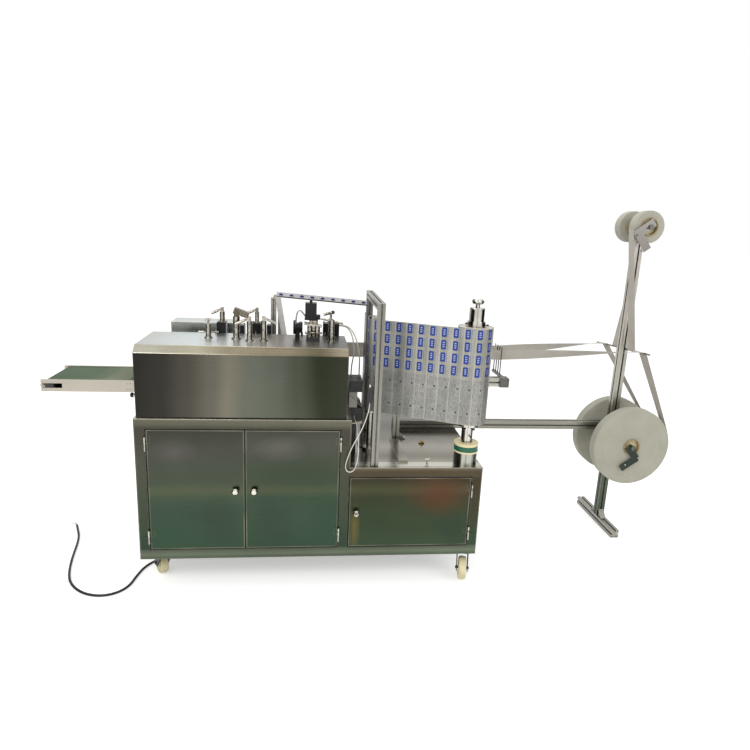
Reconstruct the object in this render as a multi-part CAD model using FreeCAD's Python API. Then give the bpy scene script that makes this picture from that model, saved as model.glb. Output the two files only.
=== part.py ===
import FreeCAD, Part
import math
import os
from FreeCAD import Vector

# Pad packing machine on a wheeled cabinet with a separate reel stand.
# All values are millimetres. While it is modelled, X runs along the machine from the left end
# of the cabinet, Y runs from the cabinet's front plane to the back, and Z is height over the floor.

# Cabinet
cabinet_length = 1400.0
cabinet_depth = 800.0
main_length = 842.0
cabinet_bottom = 133.0
main_top = 736.0
low_top = 533.0
tube = 40.0
sheet = 1.5

# Doors
door_thickness = 18.0
door_skin = 2.0
door_rim = 25.0
door_gap = 2.0
hinge_inset = 1.0
hinge_radius = 5.0
hinge_stand_off = 5.0
hinge_pin_radius = 2.5
hinge_height = 60.0
hinge_leaf = 20.0
hinge_leaf_thickness = 2.0
hinge_margin = 30.0
pin_fit = 0.05
knob_radius = 14.0
knob_stem_radius = 6.0
knob_depth = 24.0
main_knob_height = 436.0
main_knob_inset = 36.0
low_knob_height = 336.0
low_knob_inset = 30.0

# Casters
wheel_radius = 50.0
wheel_width = 32.0
wheel_axle_radius = 6.0
wheel_crown = 4.0
caster_trail = 32.0
caster_plate_thickness = 4.0
caster_plate_size = 74.0
fork_leg_thickness = 3.0
fork_leg_gap = 6.0
fork_head_radius = 30.0
fork_head_height = 12.0
swivel_gap = 1.0
swivel_pin_radius = 8.0
caster_hub_gap = 1.0
caster_inset_left = 68.0
caster_inset_right = 38.0
caster_inset_front = 60.0
caster_left_front_y = 97.0
caster_turn_left = 30.0
caster_turn_right = -12.0

# Upper housing and the bed behind it
housing_left = 9.0
housing_inset = 18.0
housing_right = main_length - housing_inset
housing_front = 8.0
housing_back = 320.0
housing_face_top = 993.0
housing_top = 1020.0
housing_bevel_depth = 30.0
bed_left = 40.0
bed_depth = 250.0
bed_top = 972.0
rear_box_left = 57.0
rear_box_length = 270.0
rear_box_depth = 110.0
rear_box_height = 72.0
rear_box_setback = 130.0

# Conveyor at the left end
conveyor_length = 340.0
conveyor_front = 20.0
conveyor_width = 240.0
conveyor_plate = 10.0
conveyor_plate_height = 45.0
conveyor_top = 880.0
conveyor_roller_radius = 19.0
conveyor_shaft_radius = 8.0
conveyor_end = 26.0
belt_thickness = 2.0
belt_side_gap = 4.0
belt_gap = 0.3
take_up_length = 70.0
take_up_height = 18.0

# Low table: flat rail and the dark infeed box
table_rail_offset = 28.0
table_rail_width = 42.0
table_rail_front = 62.0
table_rail_height = 10.0
infeed_core_width = 36.5
infeed_core_front = 206.0
infeed_width = 57.5
infeed_front = 200.0
infeed_top = 846.0
infeed_head_bottom = 797.0
infeed_plate = (729.0, 789.0)
infeed_plate_thickness = 5.0
infeed_box_heights = (668.0, 726.0)
infeed_ledge_heights = (654.0, 668.0)
infeed_ledge_reach = 3.0

# Guide frame on the low table
profile = 30.0
guide_frame_x = main_length + 88.0
guide_frame_front = 12.0
guide_frame_back = 500.0
guide_frame_top = 1205.0
guide_roller_x = main_length + 98.0
guide_roller_y = 215.0
guide_roller_radius = 25.0
guide_roller_foot_radius = 28.0
guide_roller_foot_height = 12.0
forming_plate_thickness = 6.0
forming_plate_depth = 80.0
forming_foot = 14.0

# Foil reel on a vertical spindle
spindle_inset = 61.0
spindle_x = cabinet_length - spindle_inset
spindle_y = 70.0
foil_height = 400.0
foil_bottom = 717.0
foil_roll_radius = 72.0
foil_core_radius = 38.0
foil_thickness = 0.5
brake_radius = 49.0
brake_height = 50.0
brake_disc_radius = 52.0
brake_disc_height = 42.0
spindle_radius = 11.0
spindle_sleeve_radius = 24.0
lower_chuck_height = 18.0
lower_chuck_radius = 46.0
upper_chuck_radius = 38.0
upper_chuck_height = 22.0
collar_radius = 31.0
collar_height = 54.0
stem_radius = 9.0
stem_height = 16.0
hand_disc_radius = 25.0
hand_disc_height = 18.0

# Profiles: the slot in each face, as a share of the profile's side
slot_width_share = 0.2
slot_depth_share = 0.17

# Link beam, comb stand and reel stand
heavy_profile = 40.0
beam_y = 520.0
comb_post_x = main_length + 236.0
beam_start = comb_post_x + 7.0
comb_y = 356.0
comb_arm_end = 1550.0
comb_arm_top = 835.0
comb_pin_radius = 2.5
comb_pin_top = 965.0
comb_pin_rows = (423.0, 455.0, 487.0, 521.0)
comb_clamp_length = 44.0
comb_clamp_width = 52.0
comb_clamp_height = 42.0
comb_bar_x = comb_arm_end + 26.0
comb_bar_size = 12.0
comb_bar_end = 530.0
comb_foot_length = 30.0
comb_foot_height = 6.0
comb_gusset = 26.0
stand_x = 2240.0
stand_y = 540.0
stand_top = 1518.0
foot_front = 353.0
foot_back = 754.0
guide_rod_radius = 4.0
guide_rod_height = 952.0
guide_rod_half = 168.0
guide_rod_turn = 19.0

# Rolls of web on the reel stand
roll_width = 50.0
big_roll_front = 400.0
big_roll_back = 600.0
big_roll_radius = 197.0
big_roll_x = 2286.0
big_roll_z = 475.0
small_roll_front = 455.0
small_roll_back = 594.0
small_roll_radius = 74.5
small_roll_z = 1546.0
core_inner = 37.0
core_outer = 41.5
core_overhang = 4.0
hub_thickness = 16.0
axle_radius = 12.0
axle_fit = 0.08
axle_tail = 16.0
axle_block = 40.0
keeper_thickness = 4.0
keeper_gap = 6.0
big_keeper_width = 34.0
big_keeper_arms = (((-24.0, 7.0), (26.0, -55.0)), ((32.0, -53.0), (-48.0, -110.0)))
small_keeper_width = 39.0
small_keeper_arms = (((15.0, 23.0), (-69.0, -38.0)), ((-62.0, -20.0), (-2.0, -105.0)))
web_thickness = 0.6
web_margin = 4.0
lane_big_front = 425.0
lane_small_front = 482.0
lane_small_back = 585.0
lane_big_back = 652.0
comb_lane_front = (440.0, 924.0)
comb_lane_back = (504.0, 934.0)
twist_share = 0.25
twist_steps = 8
soft_gap = 0.3

# Bridge that carries the printed strip over the heads
strip_left_x = 520.0
strip_y = 465.0
strip_left_z = 1168.0
strip_right_z = 1140.0
strip_height = 22.0
strip_bar = 14.0
strip_bar_rise = 10.0
strip_drop_top_x = 513.0
strip_drop_x = 546.0
strip_drop_width = 25.0
strip_foil_drop = 2.0
strip_post_size = 24.0
strip_post_x = 506.0
strip_post_y = 484.0
strip_post_top = 1154.0
strip_cap_height = 6.0
strip_stay_x = 526.0
strip_stay_width = 15.0
strip_stay_y = 473.0
strip_stay_top = 1150.0

# Sealing heads on top of the housing: X, Y, radius and top height of each round post
rear_block_top = 1064.0
clamp_post_1 = (258.0, 207.0, 11.0, 1078.0)
clamp_post_2 = (296.0, 345.0, 11.0, 1109.0)
clamp_post_3 = (372.0, 198.0, 14.0, 1112.0)
clamp_post_4 = (428.0, 162.0, 11.0, 1099.0)
clamp_post_5 = (443.0, 345.0, 9.0, 1111.0)
clamp_post_6 = (484.0, 170.0, 11.0, 1101.0)
clamp_post_7 = (housing_right - 66.0, 238.0, 10.0, 1106.0)
clamp_post_8 = (housing_right - 64.0, 159.0, 11.0, 1093.0)
post_ring_share = 1.5
post_ring_height = 5.0
lever_width = 12.0
lever_thickness = 9.0
lever_slope = 24.0
lever_eye_radius = 7.0
lever_grip_share = 0.4
lever_pin_radius = 3.0
fork_wall = 4.0
fork_half = 6.0
fork_side_gap = 0.5
fork_rise = 18.0
fork_head_thickness = 3.0
lever_pivot_rise = 12.0

# The swinging bar on post 8, and the small screws
swing_pin_radius = 4.0
swing_head_height = 20.0
swing_gap = 1.0
swing_bar_radius = 4.5
swing_bar_half = 47.0
swing_bar_slope = 11.0
wing_half = 12.0
wing_thickness = 6.0
wing_height = 10.0
wing_stem_radius = 4.0
wing_stem_length = 22.0
cross_rod_radius = 3.0
cross_rod_half = 40.0
cross_rod_height = 24.0
knob_places = (275.0, 369.0, 440.0, 637.0, 735.0)
small_knob_y = 309.0
small_knob_radius = 5.0
small_knob_height = 14.0
tee_stem_radius = 5.0
tee_bar_radius = 6.0
tee_bar_start = Vector(726.0, 238.0, 1123.0)
tee_bar_end = Vector(766.0, 238.0, 1134.0)
tee_ball_radius = 8.0

# Perforated block on post 3
perforated_size = Vector(62.0, 30.0, 24.0)
perforated_hole_radius = 3.0
perforated_hole_start = Vector(9.0, 0.0, 7.0)
perforated_hole_pitch = Vector(11.0, 0.0, 10.0)
perforated_columns = 5
perforated_rows = 2
perforated_tilt = 20.0
perforated_shift = 16.0
perforated_rise = 4.0
perforated_neck_share = 0.7

# Bearing blocks: X of the middle, width and top height
block_sets = ((293.0, 39.0, rear_block_top), (370.5, 41.0, 1054.0), (442.0, 45.0, rear_block_top),
              (495.0, 19.0, 1057.0), (742.5, 29.0, 1071.0), (785.0, 28.0, 1071.0))
block_setback = 4.0
block_depth = 50.0

# Bright head under the motor, the motor and the bearing unit beside it
head_foot = (656.0, 712.0, 190.0, 272.0, 12.0)
head_body = (668.0, 704.0, 222.0, 272.0)
head_top = 1098.0
head_columns = ((670.0, 208.0, 10.0, 1082.0), (702.0, 208.0, 11.0, 1076.0))
head_plate = ((647.0, 1085.0), (720.0, 1074.0), (720.0, 1083.0), (647.0, 1094.0))
head_plate_front = 196.0
head_plate_depth = 30.0
head_screw_radius = 5.0
head_screw = (650.0, 722.0, 206.0, 1050.0)
motor_left = 650.0
motor_right = 698.0
motor_front = 236.0
motor_back = 282.0
motor_flange_height = 8.0
motor_flange_lip = 2.0
motor_top = 1170.0
motor_plug_radius = 6.0
motor_plug_height = 12.0
motor_side = (714.0, 248.0, 272.0, 1099.0, 1119.0)
unit_y = 262.0
unit_z = 1063.0
unit_discs = ((601.0, 12.0, 30.0), (613.0, 12.0, 20.0), (625.0, 15.0, 24.0))
unit_foot_half = 18.0
unit_foot = (609.0, 629.0)

# Cords
power_cord_radius = 5.0
sensor_cord_radius = 2.0
hose_radius = 3.0
gland_radius = 12.0
gland_height = 20.0
gland_x = 185.0
gland_y = 270.0
power_cord_route = [
    (185.0, 270.0, 113.0), (185.0, 270.0, 62.0), (155.0, 268.0, 18.0), (100.0, 260.0, 5.2),
    (25.0, 225.0, 5.2), (-28.0, 158.0, 5.2), (-45.0, 75.0, 5.2), (-52.0, 15.0, 5.2),
    (-82.0, -32.0, 5.2), (-135.0, -55.0, 5.2), (-198.0, -45.0, 5.2), (-255.0, -8.0, 5.2),
    (-302.0, 49.0, 5.2), (-330.0, 118.0, 5.2), (-352.0, 200.0, 5.2), (-368.0, 280.0, 5.2),
    (-382.0, 360.0, 5.2), (-401.0, 435.0, 5.2), (-430.0, 500.0, 5.2), (-448.0, 540.0, 5.2)]
sensor_cord_route = [
    (915.0, 28.0, 806.0), (915.0, 28.0, 778.0), (900.0, 2.0, 740.0), (883.0, -12.0, 700.0),
    (862.0, -17.0, 660.0), (842.0, -17.0, 618.0), (828.0, -16.0, 575.0), (821.0, -14.0, 542.0),
    (832.0, -13.0, 518.0), (856.0, -13.0, 522.0), (868.0, -13.0, 552.0), (873.0, -12.0, 590.0),
    (874.0, -3.0, 628.0), (872.0, 22.0, 660.0), (871.0, 66.0, 682.0), (870.0, 120.0, 690.0),
    (867.0, 163.0, 691.0), (867.0, 200.0, 691.0)]
left_hose_route = [
    (799.0, 350.0, 1060.0), (825.0, 350.0, 1060.0), (847.0, 343.0, 1043.0), (861.0, 330.0, 1010.0),
    (867.0, 316.0, 968.0), (864.0, 305.0, 926.0), (856.0, 300.0, 886.0), (856.0, 300.0, 846.2)]
right_hose_route = [
    (799.0, 330.0, 1066.0), (827.0, 330.0, 1066.0), (852.0, 322.0, 1050.0), (871.0, 308.0, 1018.0),
    (884.0, 293.0, 976.0), (890.0, 280.0, 932.0), (889.0, 271.0, 888.0), (889.0, 271.0, 846.2)]

cord_names = ("power_cord", "sensor_cord", "left_hose", "right_hose")

UP = Vector(0, 0, 1)
ALONG = Vector(1, 0, 0)
BACK = Vector(0, 1, 0)


def box(x0, x1, y0, y1, z0, z1):
    return Part.makeBox(x1 - x0, y1 - y0, z1 - z0, Vector(x0, y0, z0))


def cylinder(radius, length, start, direction=UP):
    return Part.makeCylinder(radius, length, start, direction)


def fuse(shapes):
    joined = shapes[0].multiFuse(shapes[1:]) if len(shapes) > 1 else shapes[0]
    return joined.removeSplitter()


def polygon_prism(points, sweep):
    wire = Part.makePolygon([*points, points[0]])
    return Part.Face(wire).extrude(sweep)


def turned(profile_points, centre):
    """A revolved solid: profile points are (radius, height) about a vertical axis."""
    wire = Part.makePolygon([Vector(r, 0, z) for r, z in [*profile_points, profile_points[0]]])
    solid = Part.Face(wire).revolve(Vector(0, 0, 0), UP, 360)
    solid.translate(centre)
    return solid


def row_origin(nodes):
    """The middle of the object's base, without its cords."""
    bounds = FreeCAD.BoundBox()
    for name, shape in nodes.items():
        if name not in cord_names:
            bounds.add(shape.optimalBoundingBox(False, False))
    return Vector((bounds.XMin + bounds.XMax) / 2, (bounds.YMin + bounds.YMax) / 2, 0)


def export(name, shape, origin):
    placed = shape.copy()
    placed.translate(-origin)
    placed.exportStep(f"parts/{name}.step")


def slotted_profile(size, length, start, direction, side):
    """An aluminium profile with one slot down the middle of each face."""
    slot = size * slot_width_share
    depth = size * slot_depth_share
    half = size / 2
    corners = []
    for turn in range(4):
        normal = Vector(side)
        normal = FreeCAD.Rotation(direction, 90 * turn).multVec(normal)
        tangent = direction.cross(normal)
        corners.append(normal * half - tangent * half)
        corners.append(normal * half - tangent * (slot / 2))
        corners.append(normal * (half - depth) - tangent * (slot / 2))
        corners.append(normal * (half - depth) + tangent * (slot / 2))
        corners.append(normal * half + tangent * (slot / 2))
    return polygon_prism([start + corner for corner in corners], direction * length)


# Cabinet

def planar_frame(y0):
    """Posts and rails of one long side of the cabinet, in one plane."""
    y1 = y0 + tube
    top = main_top - sheet
    low = low_top - sheet
    bottom = cabinet_bottom + sheet
    right = cabinet_length - sheet
    bars = [
        box(sheet, sheet + tube, y0, y1, bottom, top),
        box(main_length - tube, main_length, y0, y1, bottom, top),
        box(right - tube, right, y0, y1, bottom, low),
        box(sheet, right, y0, y1, bottom, bottom + tube),
        box(sheet, main_length, y0, y1, top - tube, top),
        box(main_length, right, y0, y1, low - tube, low),
    ]
    return fuse(bars)


def side_rails():
    """Bars from the front frame to the back frame, at each post."""
    y0 = tube
    y1 = cabinet_depth - sheet - tube
    bottom = cabinet_bottom + sheet
    left = sheet
    middle = main_length - tube
    right = cabinet_length - sheet - tube
    bars = []
    for x, top in ((left, main_top), (middle, main_top), (right, low_top)):
        bars.append(box(x, x + tube, y0, y1, bottom, bottom + tube))
        bars.append(box(x, x + tube, y0, y1, top - sheet - tube, top - sheet))
    return Part.makeCompound(bars)


def cabinet_sides():
    left = box(0, sheet, 0, cabinet_depth, cabinet_bottom + sheet, main_top)
    right = box(cabinet_length - sheet, cabinet_length, 0, cabinet_depth, cabinet_bottom + sheet, low_top)
    step = box(main_length, main_length + sheet, 0, cabinet_depth - sheet, low_top, main_top)
    return Part.makeCompound([left, right, step])


def cabinet_back():
    y0 = cabinet_depth - sheet
    main = box(sheet, main_length, y0, cabinet_depth, cabinet_bottom + sheet, main_top - sheet)
    low = box(main_length, cabinet_length - sheet, y0, cabinet_depth, cabinet_bottom + sheet, low_top - sheet)
    return fuse([main, low])


def cabinet_floor():
    return box(0, cabinet_length, 0, cabinet_depth, cabinet_bottom, cabinet_bottom + sheet)


def table_tops():
    main = box(sheet, main_length, 0, cabinet_depth, main_top - sheet, main_top)
    low = box(main_length, cabinet_length - sheet, 0, cabinet_depth, low_top - sheet, low_top)
    return Part.makeCompound([main, low])


def door(opening_left, opening_right, opening_bottom, opening_top, hinge_on_left, knob_height, knob_inset):
    """A pan door with its hinge barrels and its knob, closed, flush with the frame."""
    x0 = opening_left + door_gap
    x1 = opening_right - door_gap
    z0 = opening_bottom + door_gap
    z1 = opening_top - door_gap
    panel = box(x0, x1, 0, door_thickness, z0, z1)
    pocket = box(x0 + door_rim, x1 - door_rim, door_skin, door_thickness, z0 + door_rim, z1 - door_rim)
    parts = [panel.cut(pocket)]
    axis_x, side = (opening_left - hinge_inset, 1) if hinge_on_left else (opening_right + hinge_inset, -1)
    for z in hinge_heights(opening_bottom, opening_top):
        barrel = cylinder(hinge_radius, hinge_height / 2 - pin_fit, Vector(axis_x, -hinge_stand_off, z + pin_fit))
        ends = sorted((axis_x, axis_x + side * hinge_leaf))
        leaf = box(ends[0], ends[1], -hinge_leaf_thickness, 0, z + pin_fit, z + hinge_height / 2)
        web = box(*sorted((axis_x, axis_x + side * hinge_radius)), -hinge_stand_off, 0, z + pin_fit,
                  z + hinge_height / 2)
        bore = cylinder(hinge_pin_radius + pin_fit, hinge_height, Vector(axis_x, -hinge_stand_off, z))
        clear = box(*sorted((axis_x, axis_x - side * hinge_leaf)), -hinge_stand_off / 2, door_thickness, z,
                    z + hinge_height)
        parts.append(fuse([barrel, leaf, web]).cut(bore).cut(clear))
    knob_x = x1 - knob_inset if hinge_on_left else x0 + knob_inset
    stem = cylinder(knob_stem_radius, knob_depth / 2, Vector(knob_x, 0, knob_height), -BACK)
    head_points = [Vector(0, 0, 0), Vector(knob_radius * 0.7, 0, 0), Vector(knob_radius, knob_depth * 0.2, 0),
                   Vector(knob_radius, knob_depth * 0.4, 0), Vector(knob_radius * 0.8, knob_depth * 0.55, 0),
                   Vector(0, knob_depth * 0.6, 0)]
    head = Part.Face(Part.makePolygon([*head_points, head_points[0]])).revolve(Vector(0, 0, 0), BACK, 360)
    head.translate(Vector(knob_x, -knob_depth, knob_height))
    parts.extend([stem, head])
    return fuse(parts)


def hinge_heights(opening_bottom, opening_top):
    """The middle height of each hinge, where its fixed and its moving barrel meet."""
    return (opening_bottom + hinge_margin + hinge_height / 2, opening_top - hinge_margin - hinge_height / 2)


def fixed_hinges():
    """The frame's half of each hinge: leaf, lower barrel and the pin that goes up into the door's barrel."""
    solids = []
    for left, right, bottom, top, on_left in door_openings():
        axis_x, side = (left - hinge_inset, -1) if on_left else (right + hinge_inset, 1)
        for z in hinge_heights(bottom, top):
            low = z - hinge_height / 2
            barrel = cylinder(hinge_radius, hinge_height / 2 - pin_fit, Vector(axis_x, -hinge_stand_off, low))
            pin = cylinder(hinge_pin_radius, hinge_height * 0.9, Vector(axis_x, -hinge_stand_off, low))
            ends = sorted((axis_x, axis_x + side * hinge_leaf))
            leaf = box(ends[0], ends[1], -hinge_leaf_thickness, 0, low, z - pin_fit)
            web = box(*sorted((axis_x, axis_x + side * hinge_radius)), -hinge_stand_off, 0, low, z - pin_fit)
            solids.append(fuse([barrel, leaf, web, pin]))
    return Part.makeCompound(solids)


def door_openings():
    """Left, right, bottom and top of each door's opening, and whether its hinges are on its left edge."""
    left = sheet + tube
    middle_right = main_length - tube
    centre = (left + middle_right) / 2
    bottom = cabinet_bottom + sheet + tube
    right = cabinet_length - sheet - tube
    return ((left, centre + door_gap / 2, bottom, main_top - sheet - tube, True),
            (centre - door_gap / 2, middle_right, bottom, main_top - sheet - tube, False),
            (main_length, right, bottom, low_top - sheet - tube, False))


def doors():
    left, middle, right = door_openings()
    return {
        "left_door": door(*left, main_knob_height, main_knob_inset),
        "middle_door": door(*middle, main_knob_height, main_knob_inset),
        "right_door": door(*right, low_knob_height, low_knob_inset),
    }


# Casters

def caster_places():
    """Name, X, Y and the direction in degrees in which each caster's wheel trails."""
    right = cabinet_length - caster_inset_right
    back = cabinet_depth - caster_inset_front
    return (("front_left", caster_inset_left, caster_left_front_y, 90 + caster_turn_left),
            ("front_right", right, caster_inset_front, -90 + caster_turn_right),
            ("rear_left", caster_inset_left, back, 90 + caster_turn_left),
            ("rear_right", right, back, 90 - caster_turn_right))


def caster_plate(x, y):
    half = caster_plate_size / 2
    top = cabinet_bottom
    plate = box(x - half, x + half, y - half, y + half, top - caster_plate_thickness, top)
    pin_length = swivel_gap + fork_head_height + caster_plate_thickness
    pin = cylinder(swivel_pin_radius, pin_length, Vector(x, y, top - pin_length))
    return fuse([plate, pin])


def caster_fork():
    """A fork about the origin's swivel axis, its wheel trailing along +X."""
    top = cabinet_bottom - caster_plate_thickness - swivel_gap
    head = cylinder(fork_head_radius, fork_head_height, Vector(0, 0, top - fork_head_height))
    inner = wheel_width / 2 + fork_leg_gap
    low = top - fork_head_height
    outline = [Vector(-fork_head_radius * 0.8, 0, low), Vector(fork_head_radius * 0.85, 0, low),
               Vector(caster_trail + 14, 0, wheel_radius + 8), Vector(caster_trail + 14, 0, wheel_radius - 14),
               Vector(caster_trail - 14, 0, wheel_radius - 14), Vector(-fork_head_radius * 0.6, 0, low - 30)]
    solids = [head]
    for start in (inner, -inner - fork_leg_thickness):
        leg = polygon_prism([point + Vector(0, start, 0) for point in outline], BACK * fork_leg_thickness)
        solids.append(leg)
    bridge_half = inner + fork_leg_thickness
    solids.append(box(-fork_head_radius * 0.8, fork_head_radius * 0.85, -bridge_half, bridge_half, low - 4, low))
    axle = cylinder(wheel_axle_radius, 2 * bridge_half + 10, Vector(caster_trail, -bridge_half - 5, wheel_radius), BACK)
    solids.append(axle)
    bore = cylinder(swivel_pin_radius + pin_fit, cabinet_bottom, Vector(0, 0, low - 4))
    return fuse(solids).cut(bore)


def caster_wheel():
    """A wheel about its own axle, which lies along Y at the end of the trail."""
    half = wheel_width / 2
    rim = wheel_radius - wheel_crown
    bore = wheel_axle_radius + pin_fit
    outline = [Vector(bore, -half - caster_hub_gap, 0), Vector(16, -half - caster_hub_gap, 0),
               Vector(18, -half + 3, 0), Vector(rim - 8, -half + 3, 0), Vector(rim - 6, -half, 0),
               Vector(rim, -half, 0), Vector(wheel_radius - 1, -half + 5, 0), Vector(wheel_radius, -half + 10, 0)]
    mirrored = [Vector(point.x, -point.y, 0) for point in reversed(outline)]
    wire = Part.makePolygon([*outline, *mirrored, outline[0]])
    wheel = Part.Face(wire).revolve(Vector(0, 0, 0), BACK, 360)
    wheel.translate(Vector(caster_trail, 0, wheel_radius))
    return wheel


def placed_caster(shape, x, y, direction):
    placed = shape.copy()
    placed.rotate(Vector(0, 0, 0), UP, direction)
    placed.translate(Vector(x, y, 0))
    return placed


def casters():
    nodes = {"caster_plates": Part.makeCompound([caster_plate(x, y) for _, x, y, _ in caster_places()])}
    for name, x, y, direction in caster_places():
        nodes[f"{name}_fork"] = placed_caster(caster_fork(), x, y, direction)
        nodes[f"{name}_wheel"] = placed_caster(caster_wheel(), x, y, direction)
    return nodes


# Housing, bed and conveyor

def upper_housing():
    side = [Vector(housing_left, housing_front, main_top), Vector(housing_left, housing_front, housing_face_top),
            Vector(housing_left, housing_front + housing_bevel_depth, housing_top),
            Vector(housing_left, housing_back, housing_top), Vector(housing_left, housing_back, main_top)]
    return polygon_prism(side, ALONG * (housing_right - housing_left))


def rear_bed():
    return box(bed_left, housing_right, housing_back, housing_back + bed_depth, main_top, bed_top)


def rear_box():
    y0 = housing_back + rear_box_setback
    solid = box(rear_box_left, rear_box_left + rear_box_length, y0, y0 + rear_box_depth, bed_top,
                bed_top + rear_box_height)
    return solid


def conveyor_ends():
    """Where the two rollers' axes are along X."""
    return housing_left - conveyor_length + conveyor_end, housing_left - conveyor_end


def conveyor_frame():
    left = housing_left - conveyor_length
    bottom = conveyor_top - conveyor_plate_height
    axis_z = conveyor_top - conveyor_plate_height / 2
    back = conveyor_front + conveyor_width
    solids = []
    slot_x = left + 6
    for y in (conveyor_front, back - conveyor_plate):
        plate = box(left, housing_left, y, y + conveyor_plate, bottom, conveyor_top)
        slot = box(slot_x, slot_x + take_up_length, y, y + conveyor_plate, axis_z - take_up_height / 2,
                   axis_z + take_up_height / 2)
        block = box(slot_x + 12, slot_x + 38, y + 2, y + conveyor_plate, axis_z - take_up_height / 2,
                    axis_z + take_up_height / 2)
        bolt = cylinder(3, 22, Vector(slot_x - 12, y + conveyor_plate / 2, axis_z), ALONG)
        solids.extend([plate.cut(slot), block, bolt])
    for x in conveyor_ends():
        inner = conveyor_front + conveyor_plate + belt_side_gap
        length = conveyor_width - 2 * (conveyor_plate + belt_side_gap)
        solids.append(cylinder(conveyor_roller_radius, length, Vector(x, inner, axis_z), BACK))
        shaft = cylinder(conveyor_shaft_radius, conveyor_width - 2, Vector(x, conveyor_front + 1, axis_z), BACK)
        solids.append(shaft)
    bed = box(conveyor_ends()[0] + 30, conveyor_ends()[1] - 30, conveyor_front + conveyor_plate,
              back - conveyor_plate, axis_z + 12, axis_z + conveyor_roller_radius - belt_gap)
    solids.append(bed)
    return fuse(solids)


def conveyor_belt():
    """One closed loop round both rollers."""
    x0, x1 = conveyor_ends()
    axis_z = conveyor_top - conveyor_plate_height / 2
    y0 = conveyor_front + conveyor_plate + belt_side_gap
    width = conveyor_width - 2 * (conveyor_plate + belt_side_gap)

    def stadium(radius):
        ends = [cylinder(radius, width, Vector(x, y0, axis_z), BACK) for x in (x0, x1)]
        middle = box(x0, x1, y0, y0 + width, axis_z - radius, axis_z + radius)
        return fuse([*ends, middle])

    inner = conveyor_roller_radius + belt_gap
    return stadium(inner + belt_thickness).cut(stadium(inner))


# Guide frame and foil

def guide_frame():
    x = guide_frame_x + profile / 2
    front_y = guide_frame_front + profile / 2
    back_y = guide_frame_back - profile / 2
    post_length = guide_frame_top - low_top
    front = slotted_profile(profile, post_length, Vector(x, front_y, low_top), UP, ALONG)
    back = slotted_profile(profile, post_length, Vector(x, back_y, low_top), UP, ALONG)
    bar_length = back_y - front_y - profile
    bar = slotted_profile(profile, bar_length, Vector(x, front_y + profile / 2, guide_frame_top - profile / 2),
                          BACK, ALONG)
    return fuse([front, back, bar])


def guide_roller():
    base = Vector(guide_roller_x, guide_roller_y, low_top)
    foot = cylinder(guide_roller_foot_radius, guide_roller_foot_height, base)
    pillar = cylinder(guide_roller_radius / 2, foil_bottom - low_top, base)
    drum = cylinder(guide_roller_radius, foil_height + 20, base + UP * (foil_bottom - low_top - 10))
    return fuse([foot, pillar, drum])


def foil_turn():
    """The foil's path in plan: from the reel's tangent point round the guide roller and back."""
    reel = Vector(spindle_x, spindle_y, 0)
    roller = Vector(guide_roller_x, guide_roller_y, 0)
    reel_radius = foil_roll_radius + soft_gap
    roller_radius = guide_roller_radius + soft_gap
    line = roller - reel
    distance = line.Length
    heading = math.atan2(line.y, line.x)
    lean = math.asin((reel_radius - roller_radius) / distance)
    angle = heading + math.pi / 2 - lean
    outward = Vector(math.cos(angle), math.sin(angle), 0)
    if outward.y > 0:
        angle = heading - math.pi / 2 + lean
        outward = Vector(math.cos(angle), math.sin(angle), 0)
    start = reel + outward * reel_radius
    touch = roller + outward * roller_radius
    leave_angle = math.pi
    middle_angle = (angle % (2 * math.pi) + leave_angle) / 2
    middle = roller + Vector(math.cos(middle_angle), math.sin(middle_angle), 0) * roller_radius
    leave = roller + Vector(-roller_radius, 0, 0)
    end = leave + BACK * forming_plate_depth
    return start, touch, middle, leave, end


def foil_web():
    start, touch, middle, leave, end = foil_turn()
    path = [Part.LineSegment(start, touch).toShape(), Part.Arc(touch, middle, leave).toShape(),
            Part.LineSegment(leave, end).toShape()]
    centre = Part.Wire(path)
    half = foil_thickness / 2
    centre.translate(UP * foil_bottom)
    outer = centre.makeOffset2D(half, openResult=True, fill=True)
    face = outer if outer.ShapeType == "Face" else outer.Faces[0]
    return face.extrude(UP * foil_height)


def forming_plate():
    """A standing plate with a foot that the foil runs up to behind the guide roller."""
    y0 = guide_roller_y + forming_plate_depth / 4
    x1 = guide_roller_x - guide_roller_radius - 2 * soft_gap - foil_thickness / 2
    x0 = x1 - forming_plate_thickness
    y1 = y0 + forming_plate_depth
    plate = box(x0, x1, y0, y1, low_top, foil_bottom + foil_height + 10)
    foot = box(x0 - forming_foot, x0, y0, y1, low_top, low_top + forming_plate_thickness)
    return fuse([plate, foot])


def foil_roll():
    centre = Vector(spindle_x, spindle_y, foil_bottom)
    roll = cylinder(foil_roll_radius, foil_height, centre)
    return roll.cut(cylinder(foil_core_radius, foil_height, centre))


def foil_brake():
    r = brake_radius
    disc = brake_disc_radius
    h = brake_height
    top = h + brake_disc_height
    bore = spindle_radius + pin_fit
    outline = [(bore, 0), (r, 0), (r, h), (disc, h), (disc, h + 8), (disc - 1.5, h + 9), (disc - 1.5, top - 12),
               (disc, top - 11), (disc, top - 2), (disc - 2, top), (bore, top)]
    return turned(outline, Vector(spindle_x, spindle_y, low_top))


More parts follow.
